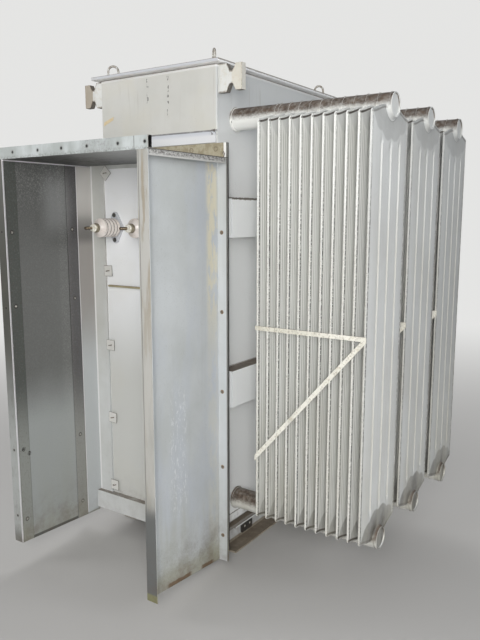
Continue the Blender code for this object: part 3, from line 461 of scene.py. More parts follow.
def right_wall_marks(g):
    """Cool sheet with a beige rear margin, pale scratches, dark speckles and a brownish front lip, and a painted
    shadow line at the rear edge.
    """
    web = g.nx.step(0.3, 0.8) * g.x.step(wall_right_high.x - 0.03, wall_right_high.x - 0.035)
    cool = g.noise(5, 4, 0.6, 3, (1, 1, 0.35)).step(0.42, 0.64)
    g.lay(web * cool * 0.6, (192, 198, 207))
    g.lay(web * g.noise(130, 4, 0.8, 11).step(0.58, 0.7) * 0.3, (140, 142, 138))
    margin = (web * near_y(g, 0.424, 0.02, 0.03) * g.noise(26, 5, 0.75, 6, (1, 1, 0.35)).step(0.4, 0.54)
              * g.z.step(0.9, 1.35, 0.25, 1))
    g.lay(margin * 0.85, (224, 217, 192))
    scratch = g.noise(150, 3, 0.8, 16, (1, 1, 0.25))
    area = near_y(g, 0.195, 0.035, 0.03) * g.z.step(0.28, 0.4) * g.z.step(0.9, 0.74)
    g.lay(web * area * scratch.step(0.56, 0.62) * 0.75, (232, 234, 236))
    lip = g.ny.step(-0.3, -0.8) * g.y.step(LIP_FRONT_Y + 0.01, LIP_FRONT_Y + 0.005)
    tone = g.mix(g.noise(7, 4, 0.6, 26, (1, 1, 0.2)).step(0.4, 0.62), (180, 179, 174), (156, 156, 150))
    stain = g.noise(40, 4, 0.7, 46, (1, 1, 0.1)).step(0.5, 0.62) * g.z.step(0.8, 1.45, 0.2, 0.7)
    tone = g.mix(stain, tone, (146, 134, 112))
    crease = g.x.band(wall_right_high.x - 0.044, 0.001, 0.0012)
    tone = g.mix(crease * 0.7, tone, (84, 84, 82))
    wave = g.noise(6, 3, 0.5, 36) * 0.16
    tone = g.mix((g.z + wave).step(0.58, 0.46), tone, (98, 100, 99))
    tone = g.mix(g.z.step(0.098, 0.088), tone, (124, 124, 92))
    g.lay(lip, tone)
    # Painted shade: a dark line at the rear flange's edge, for the shadow in the gap there.
    rear = g.x.step(wall_right_high.x - 0.006, wall_right_high.x - 0.004) * near_y(g, 0.467, 0.006)
    g.lay(rear * 0.8, (86, 82, 76))
    foot_marks(g, *RIGHT_FEET, ((0.19, 0.062), (0.375, 0.03)))


def roof_marks(g):
    """Cool front lip with stains and holes painted dark as shade, an underside painted as shade, nearly black at
    the left and lighter to the right, painted shade in the open right end of the lip and in a gap at the rear's
    right end, and a speckled right skirt.
    """
    front = g.ny.step(-0.4, -0.8)
    lip = front * g.y.step(roof_low.y + 0.006, roof_low.y + 0.003)
    tone = g.mix(g.noise(10, 4, 0.6, 5, (1, 1, 0.5)).step(0.38, 0.62), (194, 200, 200), (168, 174, 172))
    smear = g.x.band(roof_high.x - 0.24, 0.05, 0.05) * g.noise(110, 4, 0.8, 9).step(0.5, 0.58) * 0.5
    tone = g.mix(smear, tone, (134, 128, 134))
    soot = g.z.step(roof_low.z + 0.036, roof_low.z + 0.022) * g.noise(110, 4, 0.8, 19).step(0.46, 0.58) * 0.6
    tone = g.mix(soot, tone, (92, 90, 84))
    g.lay(lip, tone)
    # Painted shade: the underside is painted nearly black at the left, lighter to the right.
    under = g.nz.step(-0.4, -0.8) * g.z.step(roof_high.z - 0.02, roof_high.z - 0.03)
    painted_shade = g.mix(g.x.step(roof_high.x - 0.6, roof_high.x - 0.05), (74, 74, 72), (188, 190, 190))
    painted_shade = g.mix(g.noise(90, 4, 0.8, 29).step(0.5, 0.7) * 0.35, painted_shade, (140, 142, 140))
    g.lay(under, painted_shade)
    seam = front * g.x.band(CENTRE_X + 0.312, 0.001, 0.0012) * g.z.step(roof_high.z, roof_high.z - 0.002)
    g.lay(seam * 0.8, (96, 96, 92))
    points = [(CENTRE_X + x, roof_low.y, ROOF_HOLE_LEVEL) for x in (-0.331, -0.182, -0.05, 0.084, 0.237, 0.361)]
    drilled(g, points, 0.0052)
    # Painted shade: the open right end of the front lip's hollow is painted black.
    slot = (g.y.band(roof_low.y + 0.022, 0.0165, 0.001) * g.nz.step(0.4, 0.2)
            * g.z.step(wall_right_high.z + 0.005, wall_right_high.z + 0.006)
            * g.x.step(roof_high.x - 0.08, roof_high.x - 0.07))
    g.lay(slot, (14, 14, 14))
    skirt = g.nx.step(0.4, 0.8) * g.z.step(wall_right_high.z + 0.004, wall_right_high.z + 0.001)
    rough = g.noise(150, 4, 0.8, 27, (1, 0.6, 1)).step(0.46, 0.54)
    rough = rough * g.z.step(roof_low.z + 0.003, roof_low.z + 0.009)
    g.lay(skirt * 0.9, (196, 196, 194))
    g.lay(skirt * rough * 0.8, (88, 84, 82))
    rear = front * g.y.step(roof_high.y - 0.03, roof_high.y - 0.02)
    beige = g.mix(g.noise(34, 5, 0.7, 12).step(0.42, 0.62), (176, 169, 146), (152, 143, 118))
    g.lay(rear, beige)
    rings = [(CENTRE_X + x, roof_high.y, 1.761) for x in (0.197, 0.319)]
    g.lay(g.around(rings, 0.0105) * (1 - g.around(rings, 0.007)) * rear * 0.6, (108, 94, 72))
    g.lay(g.nx.step(0.4, 0.8) * g.z.band(wall_right_high.z + 0.003, 0.0012, 0.0012) * 0.9, (58, 54, 50))
    g.lay(rear * g.x.step(roof_high.x - 0.017, roof_high.x - 0.0155), (240, 240, 236))
    # Painted shade: a dark line in the gap at the very right.
    g.lay(rear * g.x.step(roof_high.x - 0.004, roof_high.x - 0.003), (52, 50, 46))


def frame_marks(g):
    """Grey plate inside the left wall with bright edge lines and a beige dirty head; its inside face is painted
    mid grey as shade, darker in a band up high, and lighter again at the top as painted light, and the rear of its
    end is painted dark as shade.
    """
    inside = g.nx.step(0.3, 0.8) * g.x.step(CENTRE_X - 0.3, CENTRE_X - 0.32)
    wave = g.noise(2, 3, 0.5, 32) * 0.3
    level = g.z + wave
    # Painted shade: the face inside is painted mid grey, darker from the middle up and in a band at 1.44 m.
    tone = g.mix(level.step(1.35, 0.9), (158, 154, 150), (190, 194, 195))
    tone = g.mix(g.z.band(1.44, 0.035, 0.05) * 0.6, tone, (92, 92, 90))
    g.lay(inside, tone)
    front = g.ny.step(-0.4, -0.8)
    # A bright line painted along the frame's front edge beside the left wall.
    bright_edge = (front * g.x.band(wall_left_high.x + 0.003, 0.005, 0.002)
            * g.y.step(frame_low.y + 0.006, frame_low.y + 0.002))
    g.lay(bright_edge * 0.9, (226, 224, 226))
    seam = (front * g.x.band(wall_left_high.x + 0.01, 0.003, 0.002)
            * g.y.step(frame_high.y - 0.014, frame_high.y - 0.01))
    g.lay(seam * 0.8, (236, 236, 236))
    head = g.z.step(wall_right_high.z + 0.008, wall_right_high.z + 0.012)
    beige = g.mix(g.noise(34, 5, 0.7, 12).step(0.46, 0.64), (216, 207, 168), (166, 150, 104))
    g.lay(head * front, beige)
    g.lay(g.x.step(frame_high.x - 0.016, frame_high.x - 0.014) * head * front, (236, 236, 232))
    g.lay(g.z.step(frame_low.z + 0.006, frame_low.z + 0.002) * 0.7, (88, 84, 74))
    # Painted light: the face inside is painted lighter again near the top.
    g.lay(inside * g.z.step(1.4, 1.6) * 0.7, (222, 220, 216))
    # Painted shade: the rear half of the plate's right end is painted dark, for the shadowed gap there.
    end = g.nx.step(0.4, 0.8) * g.x.step(frame_high.x - 0.003, frame_high.x - 0.001)
    middle = (frame_low.y + frame_high.y) / 2
    g.lay(end, g.mix(g.y.step(middle - 0.002, middle + 0.002), (176, 174, 166), (52, 50, 47)))


def trim_marks(g):
    """Fine brown flecks all over and worn brown edges."""
    g.lay(g.noise(130, 4, 0.8, 14).step(0.54, 0.62) * 0.55, (120, 106, 84))
    g.lay(g.noise(40, 3, 0.6, 15).step(0.56, 0.68) * 0.35, (176, 164, 134))


def base_marks(g):
    """Dark dusty brown on the rails' outer and upper faces, and the side faces just above painted near white as
    painted light.
    """
    brown = g.noise(24, 4, 0.7, 3).step(0.3, 0.7)
    tone = g.mix(brown, (176, 166, 148), (140, 130, 114))
    g.lay(g.z.step(0.035, 0.015) * 0.85, tone)
    # Painted light: the side faces just above the flanges are painted near white against the shade there.
    g.lay(abs(g.nx).step(0.4, 0.8) * g.z.step(0.018, 0.026) * 0.8, (236, 239, 240))


def lug_marks(g):
    """Cream paint with dark rough rims round the notches and the outer edges; the notch flanks and the left lugs'
    outer horns are painted darker as painted shade.
    """
    out = abs(g.x - CENTRE_X) - HALF_WIDTH
    up = abs(g.z - LUG_LEVEL)
    from_notch = abs(out - LUG_NOTCH_OUT)
    flank = (from_notch - up * 0.48).step(0.0005, -0.0025)
    rim = flank * up.step(0.017, 0.021)
    rim = g.most(rim, out.step(LUG_REACH - 0.004, LUG_REACH - 0.002),
                 up.step(LUG_HALF - 0.006, LUG_HALF - 0.003))
    rough = g.noise(90, 4, 0.8, 3).step(0.4, 0.58, 0.15, 1)
    g.lay(g.noise(55, 4, 0.75, 7).step(0.5, 0.62) * 0.35, (202, 194, 174))
    horn = out.step(LUG_NOTCH_OUT, LUG_NOTCH_OUT + 0.006)
    g.lay(horn * 0.5, (212, 204, 184))
    # Painted shade: the left lugs' outer horns are painted darker than the right ones.
    g.lay(horn * g.x.step(CENTRE_X, CENTRE_X - 0.01) * 0.8, (160, 148, 130))
    g.lay(rim * rough * 0.75, (128, 112, 92))
    g.lay(g.nx.step(0.85, 0.97) * out.step(LUG_REACH - 0.003, LUG_REACH - 0.001) * 0.9, (214, 212, 204))
    # Painted shade: faces that point neither along nor across the tank, the notch flanks among them, are painted
    # dark.
    across = abs(g.ny).step(0.6, 0.3)
    g.lay(across * abs(g.nx).step(0.985, 0.95) * 0.8, (96, 92, 86))


def radiator_paint(name, centre_y, painted_shade):
    """Radiator paint: inner panels painted brighter than the outer face as painted light, outer faces darker on
    radiators further back as painted shade, painted reflections, highlights and shadow lines, grey scalloped heads
    round the headers, chipped and dusty.
    """
    g = Graph(name, 0.4)
    cloud = g.noise(3, 4, 0.6)
    fine = g.noise(40, 4, 0.6, 3)
    # Painted light: the inner panels get a brighter paint than the outer face, against the shade in the narrow
    # gaps; the outer face is darker by painted shade on radiators further back.
    inner_painted_light, face = (243, 244, 241), (213 - painted_shade, 215 - painted_shade, 214 - painted_shade)
    face = g.mix(cloud.step(0.35, 0.7), face, (203 - painted_shade, 204 - painted_shade, 202 - painted_shade))
    outer = g.x.step(LAST_PANEL_X - 0.012, LAST_PANEL_X - 0.008)
    g.colour = g.mix(outer, inner_painted_light, face)
    run = g.noise(26, 3, 0.6, 5, (1, 1, 0.03))
    g.lay(run.step(0.5, 0.7) * 0.22, (196, 195, 186))
    across = g.y - centre_y
    reach = abs(across)
    wave = abs((across * (math.pi / FLUTE)).sine())
    lobe = wave * 0.013
    facing = abs(g.nx)
    rising = reach.step(HALF_PANEL, CROWN, 0, SHOULDER)
    # Painted reflections: fine vertical lines near the inner panels' front edges, for the neighbouring edges
    # mirrored in them.
    painted_reflections = ((HALF_PANEL - reach) * (2 * math.pi / 0.0125)).sine()
    painted_reflections = (painted_reflections.step(0.25, 0.85) * reach.step(HALF_PANEL - 0.075, HALF_PANEL - 0.065)
             * reach.step(HALF_PANEL - 0.009, HALF_PANEL - 0.012) * g.z.step(1.84, 1.78)
             * g.noise(9, 3, 0.6, 33, (3, 3, 0.25)).step(0.3, 0.6, 0.32, 0.66))
    g.lay(painted_reflections * outer.step(1, 0), (150, 148, 138))
    # Painted highlight: bright lines down the outer panel's grooves.
    flute_highlight = wave.step(0.1, 0.05) * reach.step(HALF_PANEL - 0.02, HALF_PANEL - 0.03)
    between = (g.z.step(HEADER_UP - 0.115, HEADER_UP - 0.135)
               * g.z.step(HEADER_DOWN + 0.115, HEADER_DOWN + 0.135))
    g.lay(flute_highlight * between * outer * 0.8, (240, 240, 238))
    heads = ((HEADER_UP, -1, 0.62, (150, 151, 149)), (HEADER_DOWN, 1, 1, (86, 82, 75)))
    for level, sign, strength, tone in heads:
        rise = g.most((g.z - level) * sign, 0)
        edge = (rise * rise + reach * reach * 0.55).root() - lobe + g.noise(34, 3, 0.6, 6) * 0.01
        across_pipe = (rise * rise + reach * reach).root()
        head = edge.step(0.124, 0.116) * facing.step(0.25, 0.6)
        if level == HEADER_UP:
            head = head * across_pipe.step(HEADER_RADIUS + 0.0105, HEADER_RADIUS + 0.012)
        mottle = g.noise(11, 4, 0.65, 15).step(0.25, 0.65, 0.6, 1)
        near = edge.step(0.13, 0.03, 0.7, 1)
        g.lay(head * mottle * near * strength * outer.step(0, 1, 0.6, 1), tone)
        if level == HEADER_UP:
            # Painted shade: a dark ring in the crease where the outer panel meets its pipe's neck.
            ring = across_pipe.band(HEADER_RADIUS + 0.013, 0.0008, 0.001) * outer * rise.step(0, 0.004)
            g.lay(ring * 0.55, (92, 90, 86))
        # Painted shade: a dark shadow line just inside the top and bottom rims.
        below = (g.z - level) * sign - CORNER_DROP + rising
        line = (below.band(RIM_WIDTH + 0.0035, 0.0028, 0.002) * facing.step(0.4, 0.8)
                * outer.step(0, 1, 0.95, 0.5) * g.x.step(LAST_PANEL_X + 0.012, LAST_PANEL_X + 0.01))
        g.lay(line, (78, 70, 62))
    rim = abs(g.ny).step(0.45, 0.85)
    g.lay(rim * g.z.step(1.65, 1.3, 0.35, 0.6), g.mix(g.z.step(1.65, 1.3), (226, 227, 221), (196, 194, 184)))
    inner_rim = reach.band(HALF_PANEL - RIM_WIDTH - 0.0018, 0.002, 0.0018)
    broken = g.noise(210, 3, 0.8, 8, (0.3, 0.3, 1)).step(0.45, 0.5)
    lower = g.z.step(1.78, 1.45, 0.3, 1)
    edge_chip = broken * inner_rim * g.noise(4, 4, 0.7, 28).step(0.26, 0.4) * lower
    rim_chip = (rim * reach.step(HALF_PANEL - 0.012, HALF_PANEL - 0.008)
                * g.noise(190, 3, 0.8, 38, (0.6, 0.3, 1)).step(0.56, 0.61) * lower * 0.5)
    g.lay(rim_chip, (120, 114, 102))
    g.lay(inner_rim * g.noise(12, 4, 0.6, 14, (1, 1, 0.3)).step(0.35, 0.6) * 0.34, (156, 153, 142))
    g.lay(edge_chip, (58, 54, 48))
    patch = g.noise(6, 3, 0.5, 9).step(0.52, 0.7)
    g.lay(g.spots(170, 0.2, shift=4) * patch * 0.5, CHIP)
    g.lay(g.z.step(1.1, 0.3) * g.noise(13, 4, 0.6, 2, (1, 1, 0.2)).step(0.36, 0.7) * 0.42, (186, 183, 168))
    dust = 0
    for level in (HEADER_UP, HEADER_DOWN):
        up = g.z - level
        radial = (up * up + across * across).root()
        mottled = up + g.noise(170, 4, 0.8, 7, (0.6, 1, 1)) * 0.03
        mottled = mottled + g.noise(16, 3, 0.6, 57) * 0.02
        spread = 0 if level == HEADER_UP else 0.008
        here = (radial.step(HEADER_RADIUS + spread + 0.006, HEADER_RADIUS + spread + 0.004)
                * mottled.step(0.012, 0.042) * g.x.step(LAST_PANEL_X + 0.0195, LAST_PANEL_X + 0.018))
        dust = g.most(dust, here)
    dust = dust * g.noise(60, 4, 0.7, 17).step(0.3, 0.62, 0.8, 1) * facing.step(0.8, 0.5)
    brown = g.mix(g.noise(45, 4, 0.7, 27).step(0.4, 0.62), (98, 84, 72), (76, 64, 54))
    g.lay(dust, brown)
    rough = g.total(dust * 0.35, fine.step(0.3, 0.8, 0.32, 0.48))
    height = fine - edge_chip * 0.8
    return g.finish(rough, height, 0.2, 0.0008)


def porcelain_material():
    g = Graph("porcelain_glazed", 0.14, coat=0.4)
    cloud = g.noise(16, 3, 0.5)
    g.colour = g.mix(cloud.step(0.35, 0.7), (234, 227, 222), (222, 213, 206))
    g.lay(g.noise(70, 4, 0.6, 3).step(0.5, 0.75) * 0.3, (140, 124, 108))
    g.lay(g.nz.step(0.4, 0.95) * 0.25, DUST)
    rough = cloud.step(0.3, 0.7, 0.16, 0.32)
    return g.finish(rough, g.noise(90, 2), 0.06, 0.0005)


def plain_metal(name, a, b, roughness, metallic):
    g = Graph(name, roughness, metallic)
    spot = g.noise(120, 4, 0.6)
    g.colour = g.mix(spot.step(0.35, 0.68), a, b)
    g.lay(g.nz.step(0.4, 0.9) * 0.4, DUST)
    rough = spot.step(0.3, 0.7, roughness - 0.1, roughness + 0.15)
    return g.finish(rough, spot, 0.15, 0.0005)


tank_paint = paint("tank_paint_worn", (210, 210, 205), (200, 200, 194), 0.46, dust=0.7, streaks=0.04,
                   low_grime=0.2, extra=tank_marks)
left_paint = paint("left_wall_paint_worn", (214, 218, 220), (200, 204, 204), 0.42, streaks=0.12,
                   extra=left_wall_marks)
right_paint = paint("right_wall_paint_worn", (202, 206, 208), (188, 192, 192), 0.42, streaks=0.1,
                    extra=right_wall_marks)
roof_paint = paint("roof_paint_worn", (186, 186, 180), (160, 158, 150), 0.5, streaks=0.2, chips=0.5,
                   extra=roof_marks)
trim_paint = paint("trim_paint_worn", (238, 236, 226), (216, 213, 198), 0.55, streaks=0.4, chips=0.9,
                   extra=trim_marks)
shelf_paint = paint("shelf_paint_worn", (178, 170, 140), (140, 130, 100), 0.6, dust=1.0, streaks=0.4,
                    chips=0.8)
frame_paint = paint("frame_paint_worn", (210, 212, 211), (192, 193, 188), 0.46, streaks=0.15,
                    low_grime=0.15, extra=frame_marks)
tab_paint = paint("tab_paint_worn", (224, 223, 219), (210, 209, 204), 0.46, dust=0.2, streaks=0.1,
                  low_grime=0.0)
clamp_paint = paint("clamp_paint_worn", (206, 209, 214), (180, 182, 186), 0.35, dust=0.3, streaks=0.1)
base_paint = paint("base_paint_worn", (170, 170, 164), (134, 130, 120), 0.6, dust=0.7, low_grime=0.35,
                   extra=base_marks)
lug_paint = paint("lug_paint_worn", (232, 233, 230), (216, 217, 212), 0.55, dust=0.7, streaks=0.2,
                  extra=lug_marks)
dark_metal = paint("dark_metal_worn", (84, 84, 80), (60, 58, 54), 0.55, dust=0.3, streaks=0.3)
pad_paint = paint("earth_pad_worn", (62, 62, 60), (44, 44, 42), 0.5, dust=0.3, streaks=0.2, chips=0.6)
porcelain = porcelain_material()
brass = plain_metal("terminal_brass_aged", (112, 100, 80), (68, 58, 48), 0.38, 0.6)
cup_metal = plain_metal("terminal_cup_aged", (162, 154, 134), (120, 112, 94), 0.32, 0.25)
nut_steel = plain_metal("terminal_nut_plated", (248, 246, 238), (216, 211, 196), 0.28, 0.1)
screw_steel = plain_metal("strap_screw_worn", (176, 174, 168), (120, 116, 108), 0.4, 0.2)
seam_brown = plain_metal("porcelain_seam_dirt", (112, 98, 82), (78, 68, 56), 0.8, 0.0)
tab_seam = plain_metal("tab_seam_grey", (152, 150, 144), (126, 124, 118), 0.7, 0.0)
bolt_steel = plain_metal("bolt_steel_aged", (142, 136, 124), (96, 84, 70), 0.5, 0.5)
rusty_ring = plain_metal("bolt_ring_rusted", (150, 132, 112), (120, 96, 74), 0.75, 0.0)
tape_tan = plain_metal("tape_tan", (222, 204, 168), (210, 190, 150), 0.6, 0.0)


# Mesh helpers

def place(name, bm, material, smooth_angle, slot, replaces=()):
    """Puts a mesh in the scene as a piece that rides on the one body."""
    mesh = bpy.data.meshes.new(name)
    bmesh.ops.recalc_face_normals(bm, faces=bm.faces)
    bm.to_mesh(mesh)
    bm.free()
    mesh.materials.append(material)
    item = bpy.data.objects.new(name, mesh)
    bpy.context.scene.collection.objects.link(item)
    if smooth_angle:
        mesh.shade_smooth()
        mesh.set_sharp_from_angle(angle=math.radians(smooth_angle))
    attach(item, "root")
    if replaces:
        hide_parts(*replaces)


def axes(origin, across, up, along):
    """A function that turns (across, up, along) into a point."""
    origin = Vector(origin)
    return lambda a, b, c: origin + across * a + up * b + along * c


def circle(count):
    """Cosine and sine of evenly spaced angles."""
    return [(math.cos(2 * math.pi * k / count), math.sin(2 * math.pi * k / count)) for k in range(count)]


def skin(bm, rings, closed=True):
    """Adds the faces between each row of points and the next."""
    count = len(rings[0])
    for first, second in zip(rings, rings[1:]):
        for k in range(count if closed else count - 1):
            n = (k + 1) % count
            bm.faces.new((first[k], first[n], second[n], second[k]))


def skin_and_cap(bm, rings):
    skin(bm, rings)
    bm.faces.new(rings[0][::-1])
    bm.faces.new(rings[-1])


def turn(bm, profile, sides, put):
    """Adds a solid of revolution; profile gives (along, radius)."""
    rings = []
    for along, radius in profile:
        if radius < 1e-6:
            rings.append([bm.verts.new(put(0, 0, along))])
        else:
            rings.append([bm.verts.new(put(radius * c, radius * s, along)) for c, s in circle(sides)])
    for first, second in zip(rings, rings[1:]):
        for k in range(sides):
            n = (k + 1) % sides
            corners = [first[k % len(first)], first[n % len(first)]]
            corners += [second[n % len(second)], second[k % len(second)]]
            bm.faces.new(list(dict.fromkeys(corners)))


def tube(bm, points, radii, sides=8):
    """Adds a closed rod along points, with a radius for each."""
    points = [Vector(p) for p in points]
    rings = []
    side = None
    for i, (p, r) in enumerate(zip(points, radii)):
        ahead = (points[min(i + 1, len(points) - 1)] - points[max(i - 1, 0)]).normalized()
        if side is None:
            side = ahead.orthogonal().normalized()
        side = (side - ahead * side.dot(ahead)).normalized()
        up = ahead.cross(side)
        rings.append([bm.verts.new(p + (side * c + up * s) * r) for c, s in circle(sides)])
    skin_and_cap(bm, rings)


def bead(bm, start, end, radius, step=0.006):
    """Adds a weld bead from start to end, slightly uneven along its run."""
    start, end = Vector(start), Vector(end)
    count = max(3, int((end - start).length / step))
    radii = [radius * (0.78 + 0.34 * random.random()) for _ in range(count + 1)]
    tube(bm, [start.lerp(end, i / count) for i in range(count + 1)], radii, 6)


def ring_bead(bm, put, along, ring_radius, radius, steps=48):
    """Adds an uneven weld ring round an axis."""
    rings = []
    for c, s in circle(steps):
        r = radius * (0.8 + 0.35 * random.random())
        rings.append([bm.verts.new(put((ring_radius + r * u) * c, (ring_radius + r * u) * s, along + r * v))
                      for u, v in circle(6)])
    skin(bm, rings + rings[:1])


def soft_edges(nodes, width, segments):
    """Rounds CAD nodes' edges so that they catch the light; their own meshes stay as they are."""
    for node in nodes:
        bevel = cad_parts[node].modifiers.new("Edge wear", "BEVEL")
        bevel.width = width
        bevel.segments = segments
        bevel.limit_method = "ANGLE"
        bevel.angle_limit = math.radians(40)
        bevel.harden_normals = False


def give(material, nodes):
    for node in nodes:
        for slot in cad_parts[node].material_slots:
            slot.material = material


# Radiators

def smooth(t):
    t = max(0.0, min(1.0, t))
    return t * t * (3 - 2 * t)


def head_rise(offset):
    """How far a panel's head rises above its corners at a distance from its middle."""
    if offset <= CROWN:
        return SHOULDER
    corner = max(0.0, offset - (HALF_PANEL - CORNER_RADIUS))
    return (SHOULDER * smooth((HALF_PANEL - offset) / (HALF_PANEL - CROWN))
            - (CORNER_RADIUS - math.sqrt(max(0.0, CORNER_RADIUS ** 2 - corner ** 2))))


def panel_depth(offset, end_gap):
    """Half thickness of a panel at a distance from its middle and from its nearer end."""
    rim = min(HALF_PANEL - abs(offset), end_gap)
    if rim < RIM_WIDTH:
        t = (rim - RIM_WIDTH / 2) / (RIM_WIDTH / 2)
        body = 0.0012 + (RIM_HALF - 0.0012) * math.sqrt(max(0.0, 1 - t * t))
    else:
        body = 0.0034 + 0.0032 * smooth((rim - RIM_WIDTH) / 0.04)
        body += 0.001 * (1 - smooth((rim - RIM_WIDTH) / 0.002))
    head = 0.118 - 0.018 * min(1.0, abs(offset) / (HALF_PANEL * 0.6))
    groove = 0.0
    for k in (-1, 0, 1):
        d = abs(offset - k * FLUTE)
        if d < GROOVE_HALF:
            groove = GROOVE_DEPTH * min(1.0, (GROOVE_HALF - d) / GROOVE_SIDE)
    return body - groove * smooth((end_gap - head) / 0.04)


def panel_columns():
    """Distances from a panel's middle at which its mesh has points."""
    right = {HALF_PANEL, 0.028, CROWN, 0.066, 0.106, *(HALF_PANEL - gap for gap in RIM_GAPS)}
    for k in (-1, 0, 1):
        for d in (GROOVE_HALF, GROOVE_HALF - GROOVE_SIDE / 2, GROOVE_HALF - GROOVE_SIDE):
            right.add(k * FLUTE + d)
    return sorted(right | {-d for d in right})


def add_panel(bm, centre_x, centre_y, columns, bow):
    gaps = [0.0, *RIM_GAPS, *HEAD_GAPS]
    stations = [("low", gap) for gap in gaps] + [("mid", k / 6) for k in range(1, 6)]
    stations += [("top", gap) for gap in reversed(gaps)]
    faces = []
    for sign in (1, -1):
        rows = []
        for kind, value in stations:
            row = []
            for offset in columns:
                high = HEADER_UP - CORNER_DROP + head_rise(abs(offset))
                low = HEADER_DOWN + CORNER_DROP - head_rise(abs(offset))
                z = {"low": low + value, "top": high - value,
                     "mid": low + gaps[-1] + (high - low - 2 * gaps[-1]) * value}[kind]
                out = sign * panel_depth(offset, 1.0 if kind == "mid" else value)
                out += bow * math.sin(math.pi * (z - low) / (high - low))
                row.append(bm.verts.new(at(centre_x + out, centre_y + offset, z)))
            rows.append(row)
        skin(bm, rows, False)
        faces.append(rows)
    front, back = faces
    for end in (0, -1):
        skin(bm, (front[end], back[end]), False)
        skin(bm, ([row[end] for row in front], [row[end] for row in back]), False)


def neck(bm, put, face, reach, flare, side):
    """Adds the flared neck between the last panel's head and its pipe, on the half that the panel covers."""
    profile = ((0.0, -0.001), (0.0, flare), (0.22, flare * 0.62), (0.5, flare * 0.28), (0.78, flare * 0.09),
               (1.0, -0.0006))
    steps = 36
    rings = []
    for i in range(steps + 1):
        turned = math.pi * i / steps
        grown = 0.12 + 0.88 * smooth(min(i, steps - i) / 6)
        ring = []
        for along, out in profile:
            radius = HEADER_RADIUS + out * (grown if out > 0 else 1.0)
            ring.append(bm.verts.new(put(radius * math.cos(turned), side * radius * math.sin(turned),
                                         face + reach * along * (0.5 + 0.5 * grown))))
        rings.append(ring)
    skin_and_cap(bm, rings)


def add_header(bm, centre_y, level):
    """Header pipe with a weld ring at the wall and at each panel, a neck and a set-in end disc."""
    wall, end, r = HALF_WIDTH + 0.0004, PANEL_LAST + PIPE_STUB, HEADER_RADIUS
    put = axes(at(0, centre_y, level), REAR, UP, RIGHT)
    turn(bm, [(wall, 0.0), (wall, r - 0.0002), (end - 0.0012, r - 0.0002), (end, r - 0.0014), (end, r - 0.0034),
              (end - 0.001, r - 0.0042), (end - 0.0056, r - 0.0048), (end - 0.006, r - 0.008),
              (end - 0.0056, 0.0)], 40, put)
    ring_bead(bm, put, HALF_WIDTH + 0.0042, r + 0.001, 0.0045)
    for k in range(PANELS):
        for side in (1, -1) if k == 0 else (1,):
            ring_bead(bm, put, PANEL_FIRST + k * PITCH + side * 0.0085, r, 0.0022, 40)
    neck(bm, put, PANEL_LAST + 0.003, 0.0145, 0.0125, -1 if level == HEADER_UP else 1)


def build_radiators():
    columns = panel_columns()
    for number in (1, 2, 3):
        centre_y = RADIATOR_FIRST + (number - 1) * SPACING
        # Radiators further back get a darker outer face, as painted shade.
        material = radiator_paint(f"radiator_paint_{number}", centre_y + CENTRE_Y, (number - 1) * 13)
        bm = bmesh.new()
        for k in range(PANELS):
            bow = 0.0 if k in (0, PANELS - 1) else random.uniform(-0.0012, 0.0012)
            add_panel(bm, PANEL_FIRST + k * PITCH, centre_y, columns, bow)
        for level in (HEADER_UP, HEADER_DOWN):
            add_header(bm, centre_y, level)
        place(f"radiator_fine_{number}", bm, material, 38.0, "radiator_paint", (f"radiator_{number}",))


# Bushings: each row gives the distance out from the seat and the radius

SHED_FIRST, SHED_PITCH, SHEDS = 0.0145, 0.019, 5
SHED = ((0.0, 0.0352), (0.0006, 0.0392), (0.003, 0.0412), (0.008, 0.0416), (0.013, 0.041), (0.0168, 0.0385),
        (0.018, 0.0352))
CUP = ((0.0, 0.0), (0.0, 0.019), (0.001, 0.0204), (0.0045, 0.0206), (0.009, 0.0203), (0.013, 0.0188),
       (0.0158, 0.016), (0.0172, 0.013), (0.0174, 0.0))
ROUND_NUT = ((0.0176, 0.004), (0.0176, 0.0165), (0.0188, 0.0176), (0.0214, 0.0176), (0.0226, 0.0165),
             (0.0226, 0.004))
HEX_NUT = ((0.0228, 0.004), (0.0228, 0.013), (0.0236, 0.014), (0.0312, 0.014), (0.0322, 0.0128),
           (0.0322, 0.004))
THREAD_FIRST, THREAD_PITCH, THREADS = 0.0206, 0.0014, 34
CLAMP_REACH, CLAMP_BOLT, CLAMP_END, CLAMP_BORE, CLAMP_THICK = 0.048, 0.055, 0.015, 0.0345, 0.012


